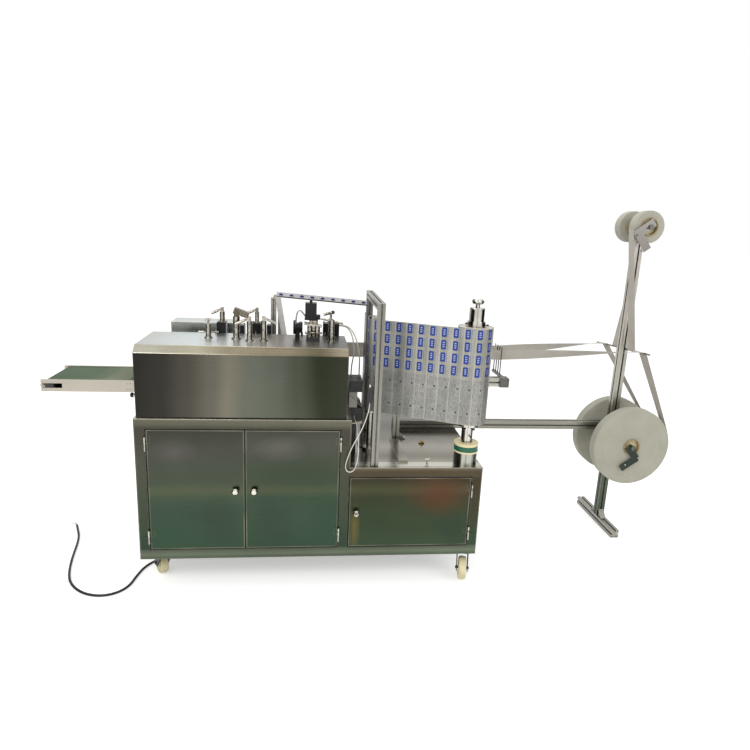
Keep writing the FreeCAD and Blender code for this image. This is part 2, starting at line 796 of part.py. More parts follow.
def foil_spindle():
    """Shaft, lower chuck, upper chuck, collar and hand disc, all turning with the roll."""
    base = low_top + brake_height + brake_disc_height
    chuck_bottom = foil_bottom - lower_chuck_height
    roll_top = foil_bottom + foil_height
    z = [low_top + 4, base + 0.5, chuck_bottom, foil_bottom, roll_top, roll_top + upper_chuck_height,
         roll_top + upper_chuck_height + collar_height]
    stem_top = z[6] + stem_height
    disc_top = stem_top + hand_disc_height
    inside = foil_core_radius - soft_gap
    outline = [(0, z[0]), (spindle_radius, z[0]), (spindle_radius, z[1]), (spindle_sleeve_radius, z[1]),
               (spindle_sleeve_radius, z[2]), (lower_chuck_radius, z[2]), (lower_chuck_radius, z[3]),
               (inside, z[3]), (inside, z[4]), (upper_chuck_radius, z[4]), (upper_chuck_radius, z[5]),
               (collar_radius, z[5]), (collar_radius, z[6] - 3), (collar_radius - 3, z[6]), (stem_radius, z[6]),
               (stem_radius, stem_top), (hand_disc_radius - 5, stem_top), (hand_disc_radius, stem_top + 6),
               (hand_disc_radius, disc_top - 6), (hand_disc_radius - 6, disc_top), (0, disc_top)]
    return turned(outline, Vector(spindle_x, spindle_y, 0))


# Strip bridge over the heads

def strip_bridge():
    """The thin bar that carries the printed strip from the guide frame to the left support."""
    left_top = strip_left_z + strip_bar_rise
    right_top = strip_right_z + strip_bar_rise
    low = [Vector(strip_left_x, strip_y, left_top - strip_bar), Vector(guide_frame_x, strip_y, right_top - strip_bar),
           Vector(guide_frame_x, strip_y, right_top), Vector(strip_left_x, strip_y, left_top)]
    return polygon_prism(low, BACK * strip_bar)


def strip_support():
    """A short profile on the bed with a cap that holds the left end of the bridge, and a flat stay."""
    size = strip_post_size
    half = size / 2
    post = slotted_profile(size, strip_post_top - bed_top, Vector(strip_post_x, strip_post_y, bed_top), UP, ALONG)
    cap_top = strip_post_top + strip_cap_height
    cap = box(strip_post_x - half, strip_post_x + half, strip_y, strip_post_y + half, strip_post_top, cap_top)
    tongue = box(strip_post_x, strip_left_x + half, strip_y, strip_y + strip_bar, cap_top - strip_cap_height / 2,
                 strip_left_z + strip_cap_height)
    stay = box(strip_stay_x, strip_stay_x + strip_stay_width, strip_stay_y, strip_stay_y + strip_bar, bed_top,
               strip_stay_top)
    return [fuse([post, cap, tongue]), stay]


def foil_strip():
    """A narrow strip of the foil along the bridge's front face, then down to the bed."""
    y0 = strip_y - soft_gap - foil_thickness
    left_low = strip_left_z - strip_foil_drop
    right_low = strip_right_z - strip_foil_drop
    along = [Vector(strip_left_x, y0, left_low), Vector(guide_frame_x, y0, right_low),
             Vector(guide_frame_x, y0, right_low + strip_height), Vector(strip_left_x, y0, left_low + strip_height)]
    foot = bed_top + soft_gap
    down = [Vector(strip_drop_top_x, y0, left_low), Vector(strip_drop_top_x + strip_drop_width, y0, left_low),
            Vector(strip_drop_x + strip_drop_width, y0, foot), Vector(strip_drop_x, y0, foot)]
    thickness = BACK * foil_thickness
    return fuse([polygon_prism(along, thickness), polygon_prism(down, thickness)])


# Sealing heads

def lever_sets():
    """Node name, post, direction of the arm along X and its length."""
    return (("lever_rear_left", clamp_post_2, -1, 50.0),
            ("lever_front_left", clamp_post_4, -1, 62.0),
            ("lever_rear_right", clamp_post_5, -1, 43.0),
            ("lever_front_right", clamp_post_6, 1, 57.0))


def post_base(post):
    """Front posts stand on the housing, rear ones on their bearing blocks."""
    return housing_top if post[1] < housing_back else rear_block_top


def clamp_posts():
    """Round posts on the housing, each lever post ending in a fork with a cross pin."""
    solids = []
    levered = [entry[1] for entry in lever_sets()]
    inner = lever_thickness / 2 + fork_side_gap
    outer = inner + fork_wall
    for post in (clamp_post_1, clamp_post_2, clamp_post_3, clamp_post_4, clamp_post_5, clamp_post_6,
                 clamp_post_7, clamp_post_8):
        x, y, radius, top = post
        base = post_base(post)
        pieces = [cylinder(radius, top - base, Vector(x, y, base)),
                  cylinder(radius * post_ring_share, post_ring_height, Vector(x, y, base))]
        if post in levered:
            pieces.extend(box(x - fork_half, x + fork_half, y + s, y + s + fork_wall, top, top + fork_rise)
                          for s in (inner, -outer))
            pieces.append(cylinder(lever_pin_radius, 2 * outer, Vector(x, y - outer, top + lever_pivot_rise), BACK))
            pieces.append(cylinder(max(radius, outer + 1), fork_head_thickness,
                                   Vector(x, y, top - fork_head_thickness)))
        if post == clamp_post_8:
            pieces.append(cylinder(swing_pin_radius, swing_gap + swing_head_height * 0.7, Vector(x, y, top)))
        solids.append(fuse(pieces))
    return solids


def lever(post, side, length):
    """A flat arm with an eye on the cross pin and a round grip, sloping down to its free end."""
    x, y, radius, top = post
    pivot = Vector(x, y - lever_thickness / 2, top + lever_pivot_rise)
    eye = cylinder(lever_eye_radius, lever_thickness, pivot, BACK)
    arm = box(0, length, 0, lever_thickness, -lever_thickness / 2, lever_thickness / 2)
    grip_start = length * lever_grip_share
    grip = cylinder(lever_width / 2, length - grip_start, Vector(grip_start, lever_thickness / 2, 0), ALONG)
    arm = fuse([arm, grip])
    if side < 0:
        arm.rotate(Vector(0, lever_thickness / 2, 0), UP, 180)
    arm.rotate(Vector(0, 0, 0), BACK, side * lever_slope)
    arm.translate(pivot)
    bore = cylinder(lever_pin_radius + pin_fit, lever_thickness * 3, pivot - BACK * lever_thickness, BACK)
    return fuse([eye, arm]).cut(bore)


def swing_bar():
    """A straight bar through a round head that turns on the pin of post 8."""
    x, y, radius, top = clamp_post_8
    base = Vector(x, y, top + swing_gap)
    head = cylinder(radius, swing_head_height, base)
    slope = math.radians(swing_bar_slope)
    direction = Vector(math.cos(slope), 0, -math.sin(slope))
    middle = base + UP * (swing_head_height * 0.75)
    bar = cylinder(swing_bar_radius, 2 * swing_bar_half, middle - direction * swing_bar_half, direction)
    bore = cylinder(swing_pin_radius + pin_fit, swing_head_height * 0.7 + pin_fit, base)
    return fuse([head, bar]).cut(bore)


def wing_screw():
    x, y, radius, top = clamp_post_1
    stem = cylinder(wing_stem_radius, wing_stem_length, Vector(x, y, top))
    half = wing_thickness / 2
    low = top + wing_stem_length - wing_height
    wings = box(x - wing_half, x + wing_half, y - half, y + half, low, low + wing_height)
    cross = box(x - half, x + half, y - wing_half, y + wing_half, low, low + wing_height)
    return fuse([stem, wings, cross])


def cross_rod():
    x, y, radius, top = clamp_post_1
    length = 2 * cross_rod_half
    rod = cylinder(cross_rod_radius, length, Vector(x - cross_rod_half, y, housing_top + cross_rod_height), ALONG)
    return rod.cut(cylinder(radius, length, Vector(x, y, housing_top)))


def small_knobs():
    return [cylinder(small_knob_radius, small_knob_height, Vector(x, small_knob_y, housing_top))
            for x in knob_places]


def perforated_block():
    """A tilted block with rows of holes on the third post."""
    x, y, radius, top = clamp_post_3
    size = perforated_size
    block = Part.makeBox(size.x, size.y, size.z, Vector(-size.x / 2, -size.y / 2, 0))
    for column in range(perforated_columns):
        for row in range(perforated_rows):
            place = Vector(perforated_hole_start.x + column * perforated_hole_pitch.x - size.x / 2, -size.y,
                           perforated_hole_start.z + row * perforated_hole_pitch.z)
            block = block.cut(cylinder(perforated_hole_radius, 2 * size.y, place, BACK))
    block.rotate(Vector(0, 0, 0), BACK, perforated_tilt)
    block.translate(Vector(x + perforated_shift, y, top + perforated_rise))
    neck = cylinder(radius * perforated_neck_share, size.y, Vector(x, y, top))
    return fuse([block, neck.cut(block)])


def tee_handle():
    x, y, radius, top = clamp_post_7
    stem = cylinder(tee_stem_radius, tee_bar_end.z - top - tee_bar_radius / 2, Vector(x, y, top))
    line = tee_bar_end - tee_bar_start
    bar = cylinder(tee_bar_radius, line.Length, tee_bar_start, line)
    return fuse([stem, bar, Part.makeSphere(tee_ball_radius, tee_bar_end)])


def bearing_blocks():
    """The dark bearing blocks of the sealing rollers behind the housing's top edge."""
    y0 = housing_back + block_setback
    return [box(x - width / 2, x + width / 2, y0, y0 + block_depth, bed_top, top) for x, width, top in block_sets]


def sealing_head():
    """The bright head under the motor, on its dark foot."""
    x0, x1, y0, y1, height = head_foot
    foot_top = housing_top + height
    foot = box(x0, x1, y0, y1, housing_top, foot_top)
    body = box(*head_body, foot_top, head_top)
    columns = [cylinder(radius, top - foot_top, Vector(x, y, foot_top)) for x, y, radius, top in head_columns]
    plate = polygon_prism([Vector(x, head_plate_front, z) for x, z in head_plate], BACK * head_plate_depth)
    left, right, y, z = head_screw
    screw = cylinder(head_screw_radius, right - left, Vector(left, y, z), ALONG)
    return fuse([foot, body, *columns, plate, screw])


def drive_motor():
    flange_top = head_top + motor_flange_height
    lip = motor_flange_lip
    body = box(motor_left, motor_right, motor_front, motor_back, flange_top, motor_top)
    flange = box(motor_left - lip, motor_right + lip, motor_front - lip, motor_back, head_top, flange_top)
    middle = Vector((motor_left + motor_right) / 2, (motor_front + motor_back) / 2, motor_top)
    plug = cylinder(motor_plug_radius, motor_plug_height, middle)
    side_right, side_front, side_back, side_low, side_top = motor_side
    side = box(motor_right, side_right, side_front, side_back, side_low, side_top)
    return fuse([body, flange, plug, side])


def bearing_unit():
    discs = [cylinder(radius, length, Vector(x, unit_y, unit_z), ALONG) for x, length, radius in unit_discs]
    foot = box(*unit_foot, unit_y - unit_foot_half, unit_y + unit_foot_half, housing_top, unit_z)
    return fuse([*discs, foot])


# Low table: rail, box and the infeed parts

def table_rail():
    left = comb_post_x - table_rail_offset
    return box(left, left + table_rail_width, table_rail_front, comb_y - heavy_profile / 2, low_top,
               low_top + table_rail_height)


def infeed_box():
    """A narrow column with a wider head and drive box, a ledge, and a slanted plate between the two."""
    left = main_length + sheet
    right = left + infeed_width
    core = box(left, left + infeed_core_width, infeed_core_front, housing_back, low_top, infeed_top)
    head = box(left, right, infeed_front, housing_back, infeed_head_bottom, infeed_top)
    drive = box(left, right, infeed_front, housing_back, *infeed_box_heights)
    ledge = box(left, right + infeed_ledge_reach, infeed_front, housing_back, *infeed_ledge_heights)
    low, high = infeed_plate
    thick = infeed_plate_thickness
    slant = polygon_prism([Vector(left, infeed_front, high), Vector(right, infeed_front, low),
                           Vector(right, infeed_front, low + thick), Vector(left, infeed_front, high + thick)],
                          BACK * (housing_back - infeed_front))
    return fuse([core, head, drive, ledge, slant])


# Comb stand, beam and reel stand

def comb_stand():
    half = profile / 2
    post_height = comb_arm_top - low_top
    post = slotted_profile(profile, post_height, Vector(comb_post_x, comb_y, low_top), UP, ALONG)
    start = Vector(comb_post_x + half, comb_y, comb_arm_top - heavy_profile / 2)
    arm = slotted_profile(heavy_profile, comb_arm_end - comb_post_x - half, start, ALONG, BACK)
    foot_x = comb_post_x + half
    foot_top = low_top + comb_foot_height
    foot = box(foot_x, foot_x + comb_foot_length, comb_y - half, comb_y + half, low_top, foot_top)
    gusset_front = comb_y - profile / 4
    gusset = polygon_prism([Vector(foot_x, gusset_front, foot_top),
                            Vector(foot_x + comb_gusset, gusset_front, foot_top),
                            Vector(foot_x, gusset_front, foot_top + comb_gusset)], BACK * (profile / 2))
    clamp_half = comb_clamp_width / 2
    clamp = box(comb_arm_end, comb_arm_end + comb_clamp_length, comb_y - clamp_half, comb_y + clamp_half,
                comb_arm_top - comb_clamp_height, comb_arm_top)
    return [post, arm, foot, gusset, clamp]


def comb_pins():
    """A bar from the clamp to the back, with the standing pins that part the bands."""
    half = comb_bar_size / 2
    low = comb_arm_top - comb_bar_size
    solids = [box(comb_bar_x - half, comb_bar_x + half, comb_y + comb_clamp_width / 2, comb_bar_end, low,
                  comb_arm_top)]
    for y in comb_pin_rows:
        solids.append(cylinder(comb_pin_radius, comb_pin_top - comb_arm_top + half,
                               Vector(comb_bar_x, y, comb_arm_top - half)))
    return solids


def link_beam():
    half = heavy_profile / 2
    start = Vector(beam_start, beam_y, low_top + half)
    return slotted_profile(heavy_profile, stand_x - half - beam_start, start, ALONG, BACK)


def reel_post():
    base = Vector(stand_x, stand_y, heavy_profile)
    post = slotted_profile(heavy_profile, stand_top - heavy_profile, base, UP, ALONG)
    hole = cylinder(guide_rod_radius, 2 * guide_rod_half, rod_start(), rod_direction())
    return post.cut(hole)


def reel_foot():
    half = heavy_profile / 2
    length = foot_back - foot_front
    bar = slotted_profile(heavy_profile, length, Vector(stand_x, foot_front, half), BACK, ALONG)
    gussets = []
    for side in (-1, 1):
        y = stand_y + side * half
        gussets.append(polygon_prism([Vector(stand_x - 14, y, heavy_profile),
                                      Vector(stand_x - 14, y + side * 36, heavy_profile),
                                      Vector(stand_x - 14, y, heavy_profile + 36)], ALONG * 28))
    return fuse([bar, *gussets])


def rod_direction():
    angle = math.radians(guide_rod_turn)
    return Vector(math.sin(angle), -math.cos(angle), 0)


def rod_start():
    return Vector(stand_x, stand_y, guide_rod_height) - rod_direction() * guide_rod_half


def guide_rod():
    return cylinder(guide_rod_radius, 2 * guide_rod_half, rod_start(), rod_direction())


def axle_sets():
    """X, Z, front end and back end of the big and the small axle."""
    reach = core_overhang + axle_tail
    return ((big_roll_x, big_roll_z, big_roll_front - reach, big_roll_back + roll_width + reach),
            (stand_x, small_roll_z, small_roll_front - reach, small_roll_back + roll_width + reach))


def reel_axles():
    """The two axles with the blocks that fix them to the post."""
    half = heavy_profile / 2
    big, small = [cylinder(axle_radius, back - front, Vector(x, front, z), BACK)
                  for x, z, front, back in axle_sets()]
    block = box(stand_x + half, big_roll_x + axle_block / 2, stand_y - half, stand_y + half,
                big_roll_z - axle_block / 2, big_roll_z + axle_block / 2)
    top_block = box(stand_x - half, stand_x + half, stand_y - half, stand_y + half, stand_top,
                    small_roll_z + axle_radius + 8)
    return [fuse([big, block]), fuse([small, top_block])]


def web_roll(radius, centre):
    """A roll on its core and hub, about an axle along Y; centre is the middle of the front face."""
    bore = axle_radius + axle_fit
    middle = roll_width / 2
    hub = hub_thickness / 2
    end = roll_width + core_overhang
    outline = [(bore, middle - hub), (core_inner, middle - hub), (core_inner, -core_overhang),
               (core_outer, -core_overhang), (core_outer, 0), (radius, 0), (radius, roll_width),
               (core_outer, roll_width), (core_outer, end), (core_inner, end), (core_inner, middle + hub),
               (bore, middle + hub)]
    wire = Part.makePolygon([Vector(r, y, 0) for r, y in [*outline, outline[0]]])
    roll = Part.Face(wire).revolve(Vector(0, 0, 0), BACK, 360)
    roll.translate(centre)
    return roll


def keepers():
    """The L plates at the front end of each axle, which keep the rolls on."""
    plates = ((big_keeper_width, big_keeper_arms), (small_keeper_width, small_keeper_arms))
    solids = []
    for (x, z, front, _), (width, arms) in zip(axle_sets(), plates):
        corner = Vector(x, front + axle_tail - keeper_gap - keeper_thickness, z)
        pieces = []
        for (x0, z0), (x1, z1) in arms:
            start = corner + Vector(x0, 0, z0)
            end = corner + Vector(x1, 0, z1)
            across = (end - start).cross(BACK).normalize() * (width / 2)
            pieces.append(polygon_prism([start - across, end - across, end + across, start + across],
                                        BACK * keeper_thickness))
        solids.append(fuse(pieces))
    return solids


def roll_sets():
    """Node name, radius and the middle of the front face of each roll on the stand."""
    return (("big_roll_front", big_roll_radius, Vector(big_roll_x, big_roll_front, big_roll_z)),
            ("big_roll_back", big_roll_radius, Vector(big_roll_x, big_roll_back, big_roll_z)),
            ("small_roll_front", small_roll_radius, Vector(stand_x, small_roll_front, small_roll_z)),
            ("small_roll_back", small_roll_radius, Vector(stand_x, small_roll_back, small_roll_z)))


def ribbon(sections):
    """A thin band lofted through rectangles; each section is a centre, a width vector and a normal."""
    wires = []
    for centre, across, normal in sections:
        half_width = across * 0.5
        half_thick = normal * (web_thickness / 2)
        corners = [centre - half_width - half_thick, centre + half_width - half_thick,
                   centre + half_width + half_thick, centre - half_width + half_thick]
        wires.append(Part.makePolygon([*corners, corners[0]]))
    return Part.makeLoft(wires, True, True)


def rod_point(y):
    """The guide rod's centre at a given depth."""
    along = rod_direction()
    start = Vector(stand_x, stand_y, guide_rod_height)
    return start + along * ((y - stand_y) / along.y)


def band_to_rod(radius, roll_x, roll_z, roll_y, lane, side):
    """A band from a roll straight to its lane on the skewed rod, twisting a little to lie on it."""
    rod = rod_point(lane)
    along = rod_direction() * -1
    centre = Vector(roll_x, roll_y, roll_z)
    line = rod - centre
    r0 = radius + soft_gap + web_thickness / 2
    r1 = guide_rod_radius + soft_gap + web_thickness / 2
    distance = math.hypot(line.x, line.z)
    angle = math.atan2(line.z, line.x) + side * math.acos((r0 - r1) / distance)
    start_normal = Vector(math.cos(angle), 0, math.sin(angle))
    start = centre + start_normal * r0
    end = rod + start_normal * r1
    end_normal = along.cross(end - start).normalize()
    if end_normal.dot(start_normal) < 0:
        end_normal = end_normal * -1
    end = rod + end_normal * r1
    width = roll_width - web_margin
    return ribbon([(start, BACK * width, start_normal), (end, along * width, end_normal)])


def band_to_comb(lane, comb_lane):
    """From the top of the rod, turning on edge on the way, between the comb's pins and on to the bed."""
    width = roll_width - web_margin
    top = rod_point(lane) + UP * (guide_rod_radius + soft_gap + web_thickness / 2)
    comb = Vector(comb_bar_x, *comb_lane)
    flat_start = rod_direction() * -width
    sections = [(top, flat_start, UP)]
    for step in range(1, twist_steps):
        share = step / twist_steps
        turn = math.radians(90 * share)
        across = flat_start * math.cos(turn) - UP * (width * math.sin(turn))
        normal = BACK * math.sin(turn) + UP * math.cos(turn)
        sections.append((top + (comb - top) * (share * twist_share), across, normal))
    on_edge = top + (comb - top) * twist_share
    sections.append((on_edge, UP * -width, BACK))
    twist = ribbon(sections)
    flat = ribbon([(on_edge, UP * -width, BACK), (comb, UP * -width, BACK)])
    end = Vector(housing_right + soft_gap, comb.y, comb.z)
    run = ribbon([(comb, UP * -width, BACK), (end, UP * -width, BACK)])
    return fuse([twist, flat, run])


def nonwoven_webs():
    """Four bands from the rolls to the guide rod, and two on from the rod to the comb."""
    half = roll_width / 2
    return Part.makeCompound([
        band_to_rod(big_roll_radius, big_roll_x, big_roll_z, big_roll_front + half, lane_big_front, -1),
        band_to_rod(big_roll_radius, big_roll_x, big_roll_z, big_roll_back + half, lane_big_back, -1),
        band_to_rod(small_roll_radius, stand_x, small_roll_z, small_roll_front + half, lane_small_front, -1),
        band_to_rod(small_roll_radius, stand_x, small_roll_z, small_roll_back + half, lane_small_back, 1),
        band_to_comb(lane_big_front, comb_lane_front),
        band_to_comb(lane_big_back, comb_lane_back)])


# Cords

def rounded_path(points, name):
    """Straight runs joined by tangent arcs, each as large as its two runs allow."""
    route = [Vector(*point) for point in points]
    edges = []
    start = route[0]
    smallest = None
    for index in range(1, len(route) - 1):
        before = route[index - 1] - route[index]
        after = route[index + 1] - route[index]
        run = min(before.Length, after.Length)
        turn = math.pi - before.getAngle(after)
        cut = 0.45 * run
        radius = cut / math.tan(turn / 2)
        smallest = radius if smallest is None else min(smallest, radius)
        into = route[index] + before.normalize() * cut
        out = route[index] + after.normalize() * cut
        toward = (before + after).normalize()
        middle = route[index] + toward * (radius / math.cos(turn / 2) - radius)
        edges.append(Part.LineSegment(start, into).toShape())
        edges.append(Part.Arc(into, middle, out).toShape())
        start = out
    edges.append(Part.LineSegment(start, route[-1]).toShape())
    wire = Part.Wire(edges)
    print(f"{name}: length {wire.Length:.0f}, smallest radius {smallest:.0f}")
    return wire


def cord(points, radius, name):
    path = rounded_path(points, name)
    direction = Vector(*points[1]) - Vector(*points[0])
    circle = Part.Wire(Part.makeCircle(radius, Vector(*points[0]), direction))
    tube_solid = path.makePipeShell([circle], True, True)
    expected = path.Length * math.pi * radius ** 2
    print(f"{name}: volume over section times length {tube_solid.Volume / expected:.4f}")
    return tube_solid


def cord_gland():
    return cylinder(gland_radius, gland_height, Vector(gland_x, gland_y, cabinet_bottom - gland_height))


def sensor_head():
    """A small sensor on a clamp at the side of the front guide post."""
    x1 = guide_frame_x
    body = box(x1 - 28, x1 - 6, guide_frame_front + 2, guide_frame_front + 28, 806, 868)
    clamp = box(x1 - 6, x1, guide_frame_front, guide_frame_front + profile, 820, 850)
    return fuse([body, clamp])


def build():
    nodes = {
        "front_frame": planar_frame(0),
        "back_frame": planar_frame(cabinet_depth - sheet - tube),
        "side_rails": side_rails(),
        "cabinet_sides": cabinet_sides(),
        "cabinet_back": cabinet_back(),
        "cabinet_floor": fuse([cabinet_floor(), cord_gland()]),
        "table_tops": table_tops(),
        "door_hinges": fixed_hinges(),
        "upper_housing": upper_housing(),
        "rear_bed": fuse([rear_bed(), rear_box()]),
        "conveyor_frame": conveyor_frame(),
        "conveyor_belt": conveyor_belt(),
        "guide_frame": guide_frame(),
        "foil_guides": Part.makeCompound([guide_roller(), forming_plate()]),
        "foil_roll": foil_roll(),
        "foil_spindle": foil_spindle(),
        "foil_brake": foil_brake(),
        "foil_web": foil_web(),
        "strip_bridge": fuse([strip_bridge(), *strip_support()]),
        "foil_strip": foil_strip(),
        "clamp_posts": fuse([*clamp_posts(), perforated_block()]),
        "hand_screws": Part.makeCompound([wing_screw(), cross_rod(), tee_handle(), *small_knobs()]),
        "bearing_blocks": Part.makeCompound([*bearing_blocks(), bearing_unit()]),
        "sealing_head": sealing_head(),
        "drive_motor": drive_motor(),
        "table_rail": table_rail(),
        "infeed_box": infeed_box(),
        "comb_stand": fuse([*comb_stand(), *comb_pins()]),
        "link_beam": link_beam(),
        "reel_post": reel_post(),
        "reel_foot": reel_foot(),
        "guide_rod": guide_rod(),
        "reel_axles": fuse([*reel_axles(), *keepers()]),
        "nonwoven_webs": nonwoven_webs(),
        "power_cord": cord(power_cord_route, power_cord_radius, "power_cord"),
        "sensor_head": sensor_head(),
        "sensor_cord": cord(sensor_cord_route, sensor_cord_radius, "sensor_cord"),
        "left_hose": cord(left_hose_route, hose_radius, "left_hose"),
        "right_hose": cord(right_hose_route, hose_radius, "right_hose"),
    }
    nodes.update(doors())
    nodes.update(casters())
    for name, post, side, length in lever_sets():
        nodes[name] = lever(post, side, length)
    nodes["lever_long"] = swing_bar()
    for name, radius, place in roll_sets():
        nodes[name] = web_roll(radius, place)
    return nodes


os.makedirs("parts", exist_ok=True)
machine = build()
machine_origin = row_origin(machine)
for node_name, node_shape in machine.items():
    export(node_name, node_shape, machine_origin)
print("origin", machine_origin.x, machine_origin.y)
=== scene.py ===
import math

import bmesh
import bpy
from mathutils import Matrix, Vector


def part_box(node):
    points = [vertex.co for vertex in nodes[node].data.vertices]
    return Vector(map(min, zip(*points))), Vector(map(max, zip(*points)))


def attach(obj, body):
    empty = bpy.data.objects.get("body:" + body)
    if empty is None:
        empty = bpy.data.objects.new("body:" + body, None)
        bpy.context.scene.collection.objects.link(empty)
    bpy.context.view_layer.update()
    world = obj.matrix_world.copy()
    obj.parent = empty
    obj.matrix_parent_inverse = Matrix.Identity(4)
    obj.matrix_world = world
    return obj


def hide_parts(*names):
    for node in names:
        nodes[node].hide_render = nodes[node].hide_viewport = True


# Looks of the pad packing machine. Places are millimetres in the cabinet's own frame: X from its left end,
# Y from its front, Z from the floor. at() turns them into the frame's metres.

MM = 0.001

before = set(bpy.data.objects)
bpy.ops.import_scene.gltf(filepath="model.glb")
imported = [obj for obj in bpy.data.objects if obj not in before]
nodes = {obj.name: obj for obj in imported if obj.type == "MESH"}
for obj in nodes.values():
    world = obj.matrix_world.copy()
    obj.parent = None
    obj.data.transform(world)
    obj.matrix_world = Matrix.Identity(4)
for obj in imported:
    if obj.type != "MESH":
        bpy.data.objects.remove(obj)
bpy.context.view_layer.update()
scene = bpy.context.scene
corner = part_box("cabinet_sides")[0]


def at(x, y, z):
    return Vector((corner.x + x * MM, corner.y + y * MM, z * MM))


def span(node):
    """A node's lowest and highest corner, in the cabinet's own millimetres."""
    return [Vector(((p.x - corner.x) / MM, (p.y - corner.y) / MM, p.z / MM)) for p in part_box(node)]


def tone(red, green, blue):
    """A display colour, 0 to 255, as the linear colour that a shader takes."""
    shares = [value / 255 for value in (red, green, blue)]
    return (*(s / 12.92 if s <= 0.04045 else ((s + 0.055) / 1.055) ** 2.4 for s in shares), 1)


def scaled(colour, share, lift=0):
    return (*(min(1, c * share + lift) for c in colour[:3]), 1)


def shades(*stops):
    """Stops of a colour ramp, each given as its position from 0 to 1 and a display colour."""
    return [(position, tone(*colour)) for position, *colour in stops]


# Materials

class Wire:
    """A value in a material's graph, for plain arithmetic."""

    def __init__(self, graph, socket):
        self.graph = graph
        self.socket = socket

    def __add__(self, other):
        return self.graph.math("ADD", self, other)

    def __sub__(self, other):
        return self.graph.math("SUBTRACT", self, other)

    def __rsub__(self, other):
        return self.graph.math("SUBTRACT", other, self)

    def __mul__(self, other):
        return self.graph.math("MULTIPLY", self, other)

    def __truediv__(self, other):
        return self.graph.math("DIVIDE", self, other)

    def __abs__(self):
        return self.graph.math("ABSOLUTE", self)


class Graph:
    """Short calls for the nodes of one material, or of the tree given."""

    def __init__(self, name, tree=None):
        self.tree = tree
        if tree is None:
            self.material = bpy.data.materials.new(name)
            self.material.use_nodes = True
            self.tree = self.material.node_tree
            self.shader = self.tree.nodes["Principled BSDF"]

    def add(self, kind, inputs=None, **settings):
        node = self.tree.nodes.new("ShaderNode" + kind)
        for key, value in settings.items():
            setattr(node, key, value)
        for key, value in (inputs or {}).items():
            self.feed(node.inputs[key], value)
        return node

    def take(self, output, kind, inputs=None, **settings):
        """The wire from one output, by name or number, of a new node."""
        return Wire(self, self.add(kind, inputs, **settings).outputs[output])

    def feed(self, socket, value):
        if isinstance(value, Wire):
            self.tree.links.new(value.socket, socket)
        else:
            socket.default_value = value

    def math(self, operation, a, b=0):
        return self.take(0, "Math", {0: a, 1: b}, operation=operation)

    def larger(self, a, b):
        return self.math("MAXIMUM", a, b)

    def distance(self, a, b):
        """The length of a line from its parts along two axes."""
        return self.math("SQRT", a * a + b * b)

    def blend(self, share, a, b, mode="MIX"):
        return self.take(2, "Mix", {0: share, 6: a, 7: b}, data_type="RGBA", blend_type=mode)

    def spread(self, value, low, high, out_low=0, out_high=1):
        return self.take(0, "MapRange", {0: value, 1: low, 2: high, 3: out_low, 4: out_high})

    def point(self):
        """The point's place at rest; it stays with the piece when a joint moves."""
        return self.take("Object", "TexCoord")

    def axis(self, name):
        return self.take(name, "SeparateXYZ", {0: self.point()})

    def normal(self, name):
        return self.take(name, "SeparateXYZ", {0: self.take("Normal", "NewGeometry")})

    def joined(self, *parts):
        return self.take(0, "CombineXYZ", dict(enumerate(parts)))

    def noise(self, scale, detail=4, stretch=(1, 1, 1), vector=None):
        source = vector or self.take(0, "Mapping", {0: self.point(), "Scale": stretch})
        return self.take(0, "TexNoise", {"Vector": source, "Scale": scale, "Detail": detail})

    def cloud(self, scale, detail, low, high, out_low=0, out_high=1, stretch=(1, 1, 1)):
        return self.spread(self.noise(scale, detail, stretch), low, high, out_low, out_high)

    def ramp(self, value, stops):
        node = self.add("ValToRGB", {0: value})
        band = node.color_ramp
        band.interpolation = "EASE"
        while len(band.elements) < len(stops):
            band.elements.new(0.5)
        for element, (position, colour) in zip(band.elements, stops):
            element.position = position
            element.color = colour
        return Wire(self, node.outputs[0])

    def bump(self, height, strength, distance):
        self.set(Normal=self.take(0, "Bump", {"Height": height, "Strength": strength, "Distance": distance}))

    def edge_mask(self, radius):
        """1 along convex and concave edges, 0 on open faces."""
        rounded = self.take(0, "Bevel", {"Radius": radius}, samples=4)
        sharp = self.take("Normal", "NewGeometry")
        same = self.take("Value", "VectorMath", {0: rounded, 1: sharp}, operation="DOT_PRODUCT")
        return self.spread(same, 0.995, 0.86)

    def hollow_shade(self, reach):
        """1 in slots and inner corners, 0 on open faces."""
        return self.spread(self.take("AO", "AmbientOcclusion", {"Distance": reach}, samples=6), 0.8, 0.3)

    def seen_rays(self):
        """1 for what the camera, reflections and clear parts see."""
        path = self.add("LightPath").outputs
        camera_ray, mirror_ray, clear_ray = (
            Wire(self, path[f"Is {kind} Ray"]) for kind in ("Camera", "Glossy", "Transmission"))
        return self.larger(self.larger(camera_ray, mirror_ray), clear_ray)

    def set(self, **values):
        for key, value in values.items():
            self.feed(self.shader.inputs[key.replace("_", " ")], value)


def reflection_streaked(g, colour):
    """Painted reflections on bright metal: the dark upright streaks that a hall gives it, darker where the face looks
    aside, and painted shade on faces that look down.
    """
    dark, half = tone(58, 57, 53), scaled(colour, 0.55)
    # Painted reflections: dark and half-dark bands set by which way the face looks.
    ring = g.ramp(g.spread(g.normal("X"), -1, 1), [
        (0, half), (0.10, dark), (0.19, dark), (0.25, colour), (0.34, colour), (0.40, half), (0.45, colour),
        (0.62, colour), (0.70, half), (0.78, dark), (0.88, dark), (0.94, colour), (1, half)])
    # Painted shade: faces that look down go toward the dark colour.
    return g.blend(g.spread(g.normal("Z"), -0.15, -0.6) * 0.8, ring, dark)


def reflection_blotched(g, colour, scale, share):
    """Painted broken dark reflections, as small bright parts give among others."""
    return g.blend(g.cloud(scale, 2, 0.50, 0.56) * share, colour, tone(40, 38, 35))


